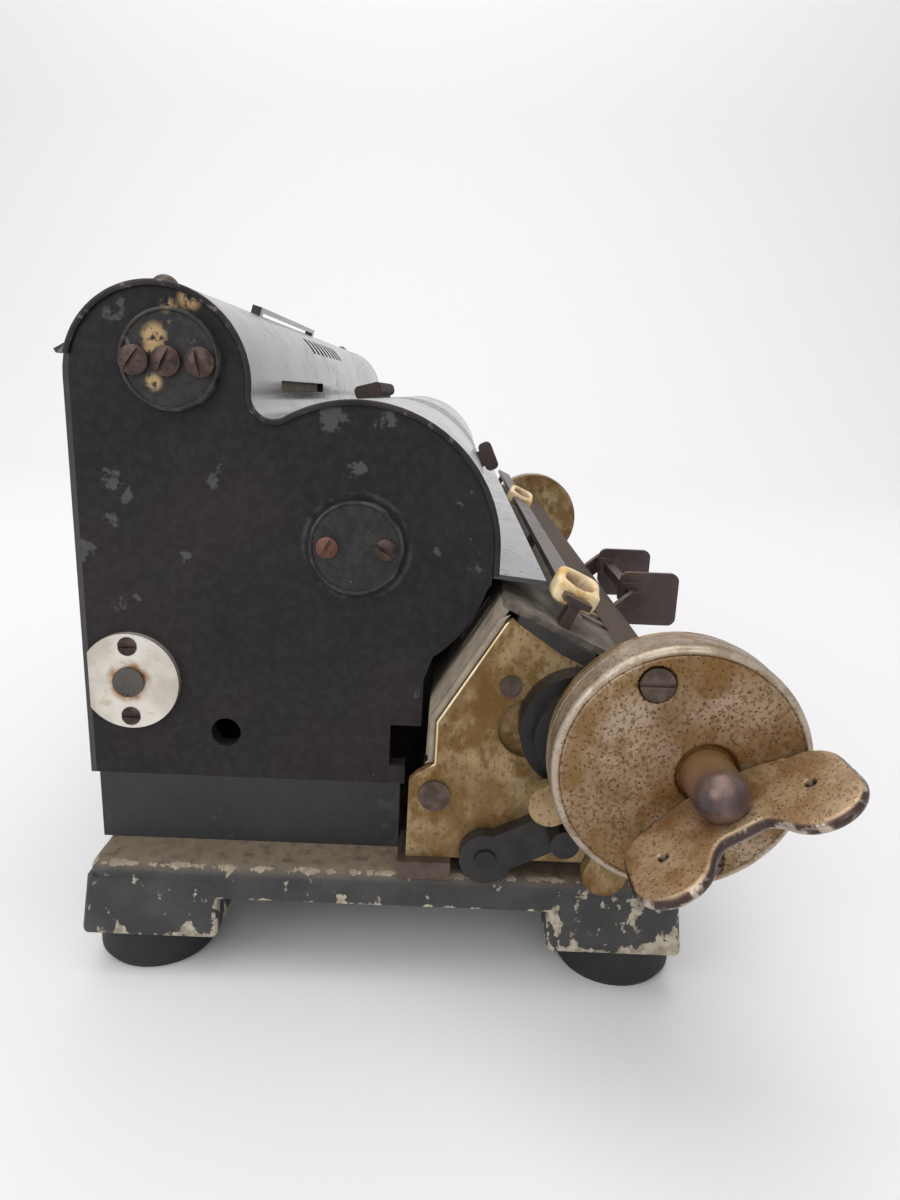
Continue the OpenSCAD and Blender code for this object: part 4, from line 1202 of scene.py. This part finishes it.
@dataclass
class Numerals:
    """Plain numbers painted on the number wheels, as flat ribbons wrapped round them."""

    strokes: Tuple[Tuple[Tuple[float, float], ...], ...] = (
        ((0.2, 0.0), (0.8, 0.0), (1.0, 0.2), (1.0, 0.8), (0.8, 1.0), (0.2, 1.0), (0.0, 0.8), (0.0, 0.2), (0.2, 0.0)),
        ((0.2, 0.8), (0.5, 1.0), (0.5, 0.0)),
        ((0.0, 0.8), (0.2, 1.0), (0.8, 1.0), (1.0, 0.8), (1.0, 0.6), (0.0, 0.0), (1.0, 0.0)),
        ((0.0, 1.0), (1.0, 1.0), (0.45, 0.6), (0.8, 0.58), (1.0, 0.4), (1.0, 0.2), (0.8, 0.0), (0.2, 0.0),
         (0.0, 0.15)),
        ((0.75, 0.0), (0.75, 1.0), (0.0, 0.3), (1.0, 0.3)),
        ((0.95, 1.0), (0.1, 1.0), (0.05, 0.55), (0.75, 0.6), (1.0, 0.4), (1.0, 0.2), (0.8, 0.0), (0.2, 0.0),
         (0.0, 0.12)),
        ((0.85, 1.0), (0.3, 0.85), (0.0, 0.4), (0.0, 0.2), (0.2, 0.0), (0.8, 0.0), (1.0, 0.2), (1.0, 0.4), (0.8, 0.55),
         (0.2, 0.55), (0.0, 0.35)),
        ((0.0, 1.0), (1.0, 1.0), (0.4, 0.0)),
        ((0.2, 0.55), (0.05, 0.75), (0.2, 1.0), (0.8, 1.0), (0.95, 0.75), (0.8, 0.55), (0.2, 0.55), (0.0, 0.3),
         (0.2, 0.0), (0.8, 0.0), (1.0, 0.3), (0.8, 0.55)),
        ((0.15, 0.0), (0.7, 0.15), (1.0, 0.6), (1.0, 0.8), (0.8, 1.0), (0.2, 1.0), (0.0, 0.8), (0.0, 0.6), (0.2, 0.45),
         (0.8, 0.45), (1.0, 0.65)))
    lift: float = 0.06
    stroke: float = 0.17
    registers: Tuple[Tuple[str, float, int], ...] = (("counter", 16.0, 8), ("result", 92.0, 13))
    wheel: Tuple[float, float, float] = (13.5, 2.5, 4.4)
    wheel_step: float = 36.0
    check: Tuple[float, float, float] = (11.5, 1.9, 2.5)
    check_first: float = 92.0
    check_window: Tuple[float, float] = (33.7, 141.2)
    check_gear: Tuple[float, float] = (44.0, 26.0)
    lever_swing: float = 81.0

    def ribbon(self, digit: int, wide: float, tall: float) -> np.ndarray:
        """Outline of a number as a ribbon of even width with mitred corners.

        Args:
            digit: Number from zero to nine.
            wide: Width in millimetres.
            tall: Height in millimetres.

        Returns:
            Points of the two sides of the ribbon, in the flat.
        """
        line = (np.array(self.strokes[digit]) - 0.5) * np.array([wide, tall])
        step = np.diff(line, axis=0)
        step /= np.linalg.norm(step, axis=1)[:, None]
        first, last = (step[-1:], step[:1]) if digit == 0 else (step[:1], step[-1:])
        after = np.vstack([step, last])
        mean = np.vstack([first, step]) + after
        mean /= np.linalg.norm(mean, axis=1)[:, None]
        mitre = np.clip(1.0 / np.clip(np.sum(mean * after, axis=1), 0.55, 1.0), 1.0, 1.6)[:, None]
        aside = 0.5 * self.stroke * tall * mitre * np.column_stack([-mean[:, 1], mean[:, 0]])
        return np.stack([line - aside, line + aside], axis=1)

    def wrapped(self, x: float, axis: np.ndarray, angle: float, digit: int,
                wheel: Tuple[float, float, float]) -> Sheet:
        """Number laid on a cylinder: height on the flat becomes an angle about the axis.

        Args:
            x: Middle of the wheel.
            axis: Axis of the wheel in the end view.
            angle: Place of the number round the wheel, in degrees.
            digit: Number from zero to nine.
            wheel: Radius of the wheel, and width and height of its numbers.

        Returns:
            Grid of the ribbon.
        """
        radius, wide, tall = wheel
        flat = self.ribbon(digit, wide, tall)
        yz = axis + (radius + self.lift) * ray(math.radians(angle) - flat[..., 1] / radius)
        return Sheet(grid(x + flat[..., 0], yz[..., 0], yz[..., 1]), closed=False)

    def make(self) -> None:
        """Puts the numbers on both registers and on the check wheels."""
        window = 90.0 + math.degrees(SLOPE)
        for body, first, count in self.registers:
            sheets = [self.wrapped(first + COLUMN * i, WHEEL_AXIS, window + self.wheel_step * d, d, self.wheel)
                      for i in range(count) for d in range(10)]
            build(f"{body}_numbers", sheets, DIGIT_ENAMEL, body)
        seen = math.degrees(math.atan2(*(np.array(self.check_window) - CHECK_AXIS)[::-1]))
        # Lever 1 rests at nine, the others at zero.
        step = self.lever_swing * self.check_gear[0] / self.check_gear[1] / 9.0
        for i in LEVERS:
            x, shown = self.check_first + COLUMN * (i - 1), 9 if i == 1 else 0
            sheets = [self.wrapped(x, CHECK_AXIS, seen + step * (d - shown), d, self.check) for d in range(10)]
            build(f"check_{i}_numbers", sheets, DIGIT_ENAMEL, f"check_{i}")


# Solids that keep their own shape, by finish.
DRESSING: Dict[Finish, Tuple[str, ...]] = {
    RUBBER: ("rubber_feet",),
    END_JAPAN: ("left_end_plate", "right_end_plate"),
    FRAME_JAPAN: ("lower_frame",),
    COVER_JAPAN: ("top_cover", "rear_cover"),
    CAP_JAPAN: ("bearing_caps",),
    SCREW_STEEL: ("frame_screws",),
    BRIGHT_NICKEL: ("shaft_flanges",),
    SHAFT_STEEL: ("cross_shafts", "crank_bush", "rotor_shaft", "pinwheels", "crank_shaft", "shaft_bracket",
                  "counter_shaft", "result_shaft"),
    STRIP_STEEL: ("carriage_rail", "carriage_bars"),
    ARM_NICKEL: ("crank_arm",),
    KNOB_WOOD: ("crank_knob",),
    TAB_STEEL: tuple(f"setting_lever_{i}" for i in LEVERS) + ("left_tab", "right_tab"),
    WHEEL_ENAMEL: tuple(f"check_wheel_{i}" for i in LEVERS) + ("counter_wheels", "result_wheels"),
    PLATE_BRASS: ("left_carriage_plate", "right_carriage_plate", "drum_plates"),
    RIVET_STEEL: ("carriage_fasteners",),
    CARRIAGE_PAINT: ("carriage_cover",),
    REAR_PAINT: ("carriage_rear_plate",),
    BUFFER_LEATHER: ("carriage_buffers",),
    DARK_STEEL: ("collars", "left_latch", "right_latch"),
    STUD_BRONZE: ("left_stud", "right_stud"),
}


def dress_solids() -> None:
    """Gives each solid its finish in place of the plain packed one."""
    for finish, nodes in DRESSING.items():
        for node in nodes:
            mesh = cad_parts[node].data
            mesh.materials.clear()
            mesh.materials.append(finish.material())
        LOG.info("%s: %s", finish.name, ", ".join(nodes))


@dataclass
class Studio:
    """Pale paper sweep, soft lamps and the camera of the photograph."""

    eye: Tuple[float, float, float] = (-170.0, -12.7, 129.0)
    focal: float = 820.0
    image_height: int = 1200
    sensor: float = 36.0
    tilt: float = 14.1
    roll: float = 2.3
    paper: str = "#e6e5e6"
    surround: str = "#f1f0f1"
    surround_light: float = 0.55
    surround_seen: float = 0.85
    machine: Tuple[float, float, float] = (0.0, 0.0, 0.07)
    floor_ends: Tuple[float, float] = (-2500.0, 900.0)
    bend: float = 700.0
    wall_top: float = 2600.0
    half_width: float = 3000.0

    def camera(self) -> None:
        """Camera that looks along the machine, tipped down and rolled a little clockwise."""
        t, r = math.radians(self.tilt), math.radians(self.roll)
        right = (math.sin(r) * math.sin(t), -math.cos(r), math.sin(r) * math.cos(t))
        up = (math.cos(r) * math.sin(t), math.sin(r), math.cos(r) * math.cos(t))
        back = (-math.cos(t), 0.0, math.sin(t))
        lens = bpy.data.cameras.new("camera")
        lens.sensor_fit = "VERTICAL"
        lens.sensor_height = self.sensor
        lens.lens = self.focal * self.sensor / self.image_height
        lens.clip_start = 0.01
        camera = bpy.data.objects.new("camera", lens)
        turn = Matrix((right, up, back)).transposed().to_4x4()
        camera.matrix_world = Matrix.Translation(place(self.eye[0], self.eye[1:])) @ turn
        bpy.context.scene.collection.objects.link(camera)
        bpy.context.scene.camera = camera

    def sweep(self) -> None:
        """Floor that curves up into the backdrop: a straight, a quarter circle and a straight, carried along Y."""
        near, far = self.floor_ends
        bend = np.array([far, self.bend]) + self.bend * ray(np.linspace(-QUARTER, 0.0, 24))
        line = np.concatenate([[[near, 0.0]], bend, [[far + self.bend, self.wall_top]]])
        points = grid(line[:, :1], self.half_width * np.array([-1.0, 1.0]), line[:, 1:])
        mesh = bpy.data.meshes.new("paper_sweep")
        mesh.from_pydata((points.reshape(-1, 3) * MM).tolist(), [], grid_quads(len(line), 2, False).tolist())
        mesh.polygons.foreach_set("use_smooth", np.ones(len(mesh.polygons), bool))
        floor = bpy.data.objects.new("paper_sweep", mesh)
        bpy.context.scene.collection.objects.link(floor)
        material = bpy.data.materials.new("Matt backdrop paper")
        material.use_nodes = True
        surface = material.node_tree.nodes["Principled BSDF"]
        surface.inputs["Base Color"].default_value = linear(self.paper)
        surface.inputs["Roughness"].default_value = 0.9
        surface.inputs["Specular IOR Level"].default_value = 0.1
        mesh.materials.append(material)

    def lamp(self, name: str, at: Tuple[float, float, float], to: Tuple[float, float, float], size: float,
             watts: float) -> None:
        """Square soft lamp that faces a point.

        Args:
            name: Name of the lamp.
            at: Its place in metres.
            to: Point that it faces.
            size: Length of a side in metres.
            watts: Its power.
        """
        data = bpy.data.lights.new(name, "AREA")
        data.size, data.energy = size, watts
        lamp = bpy.data.objects.new(name, data)
        lamp.location = at
        lamp.rotation_euler = (Vector(to) - Vector(at)).to_track_quat("-Z", "Y").to_euler()
        bpy.context.scene.collection.objects.link(lamp)

    def room(self) -> None:
        """Pale surround, brighter to the camera and in reflections than as a light."""
        world = bpy.data.worlds.new("pale_room")
        world.use_nodes = True
        layers = Layers(world.node_tree)
        rays = layers.add("LightPath").outputs
        seen = rays["Is Camera Ray"]
        for kind in ("Is Glossy Ray", "Is Transmission Ray"):
            seen = layers.add("Math", {0: seen, 1: rays[kind]}, operation="MAXIMUM").outputs[0]
        strength = layers.add("Mix", {0: seen, 2: self.surround_light, 3: self.surround_seen},
                              data_type="FLOAT").outputs[0]
        sky = world.node_tree.nodes["Background"]
        sky.inputs["Color"].default_value = linear(self.surround)
        world.node_tree.links.new(strength, sky.inputs["Strength"])
        bpy.context.scene.world = world

    def make(self) -> None:
        """Sets up camera, sweep, lamps and the pale surround."""
        self.camera()
        self.sweep()
        self.lamp("overhead_softbox", (-0.2, 0.25, 2.3), self.machine, 2.4, 33.0)
        self.lamp("window_fill", (-1.2, 1.1, 0.9), self.machine, 1.2, 9.0)
        self.lamp("front_fill", (-1.6, -0.3, 1.0), (-0.15, 0.0, 0.0), 0.9, 5.0)
        self.lamp("backdrop_lamp", (0.6, 0.1, 2.1), (1.6, -0.2, 1.5), 1.4, 9.0)
        self.room()
        bpy.context.scene.view_settings.view_transform = "Standard"


def main() -> None:
    """Builds the machine's pieces in order, then the studio."""
    logging.basicConfig(level=logging.INFO, format="%(message)s")
    dress_solids()
    CastBase().make()
    SlotBacking().make()
    drum, wing, marker = ClearingDrum(), ClearingWing(), DecimalMarker()
    for side in Side:
        CoverEdge().make(side)
        drum.make(side)
        wing.make(side, drum.tilt[side])
        PlateEdge().make(side)
        CapRing().make(side)
        HoleBacking().make(side)
    marker.make("left_marker", -3.0)
    marker.make("right_marker", 160.0)
    Numerals().make()
    Studio().make()


if __name__ == "__main__":
    main()
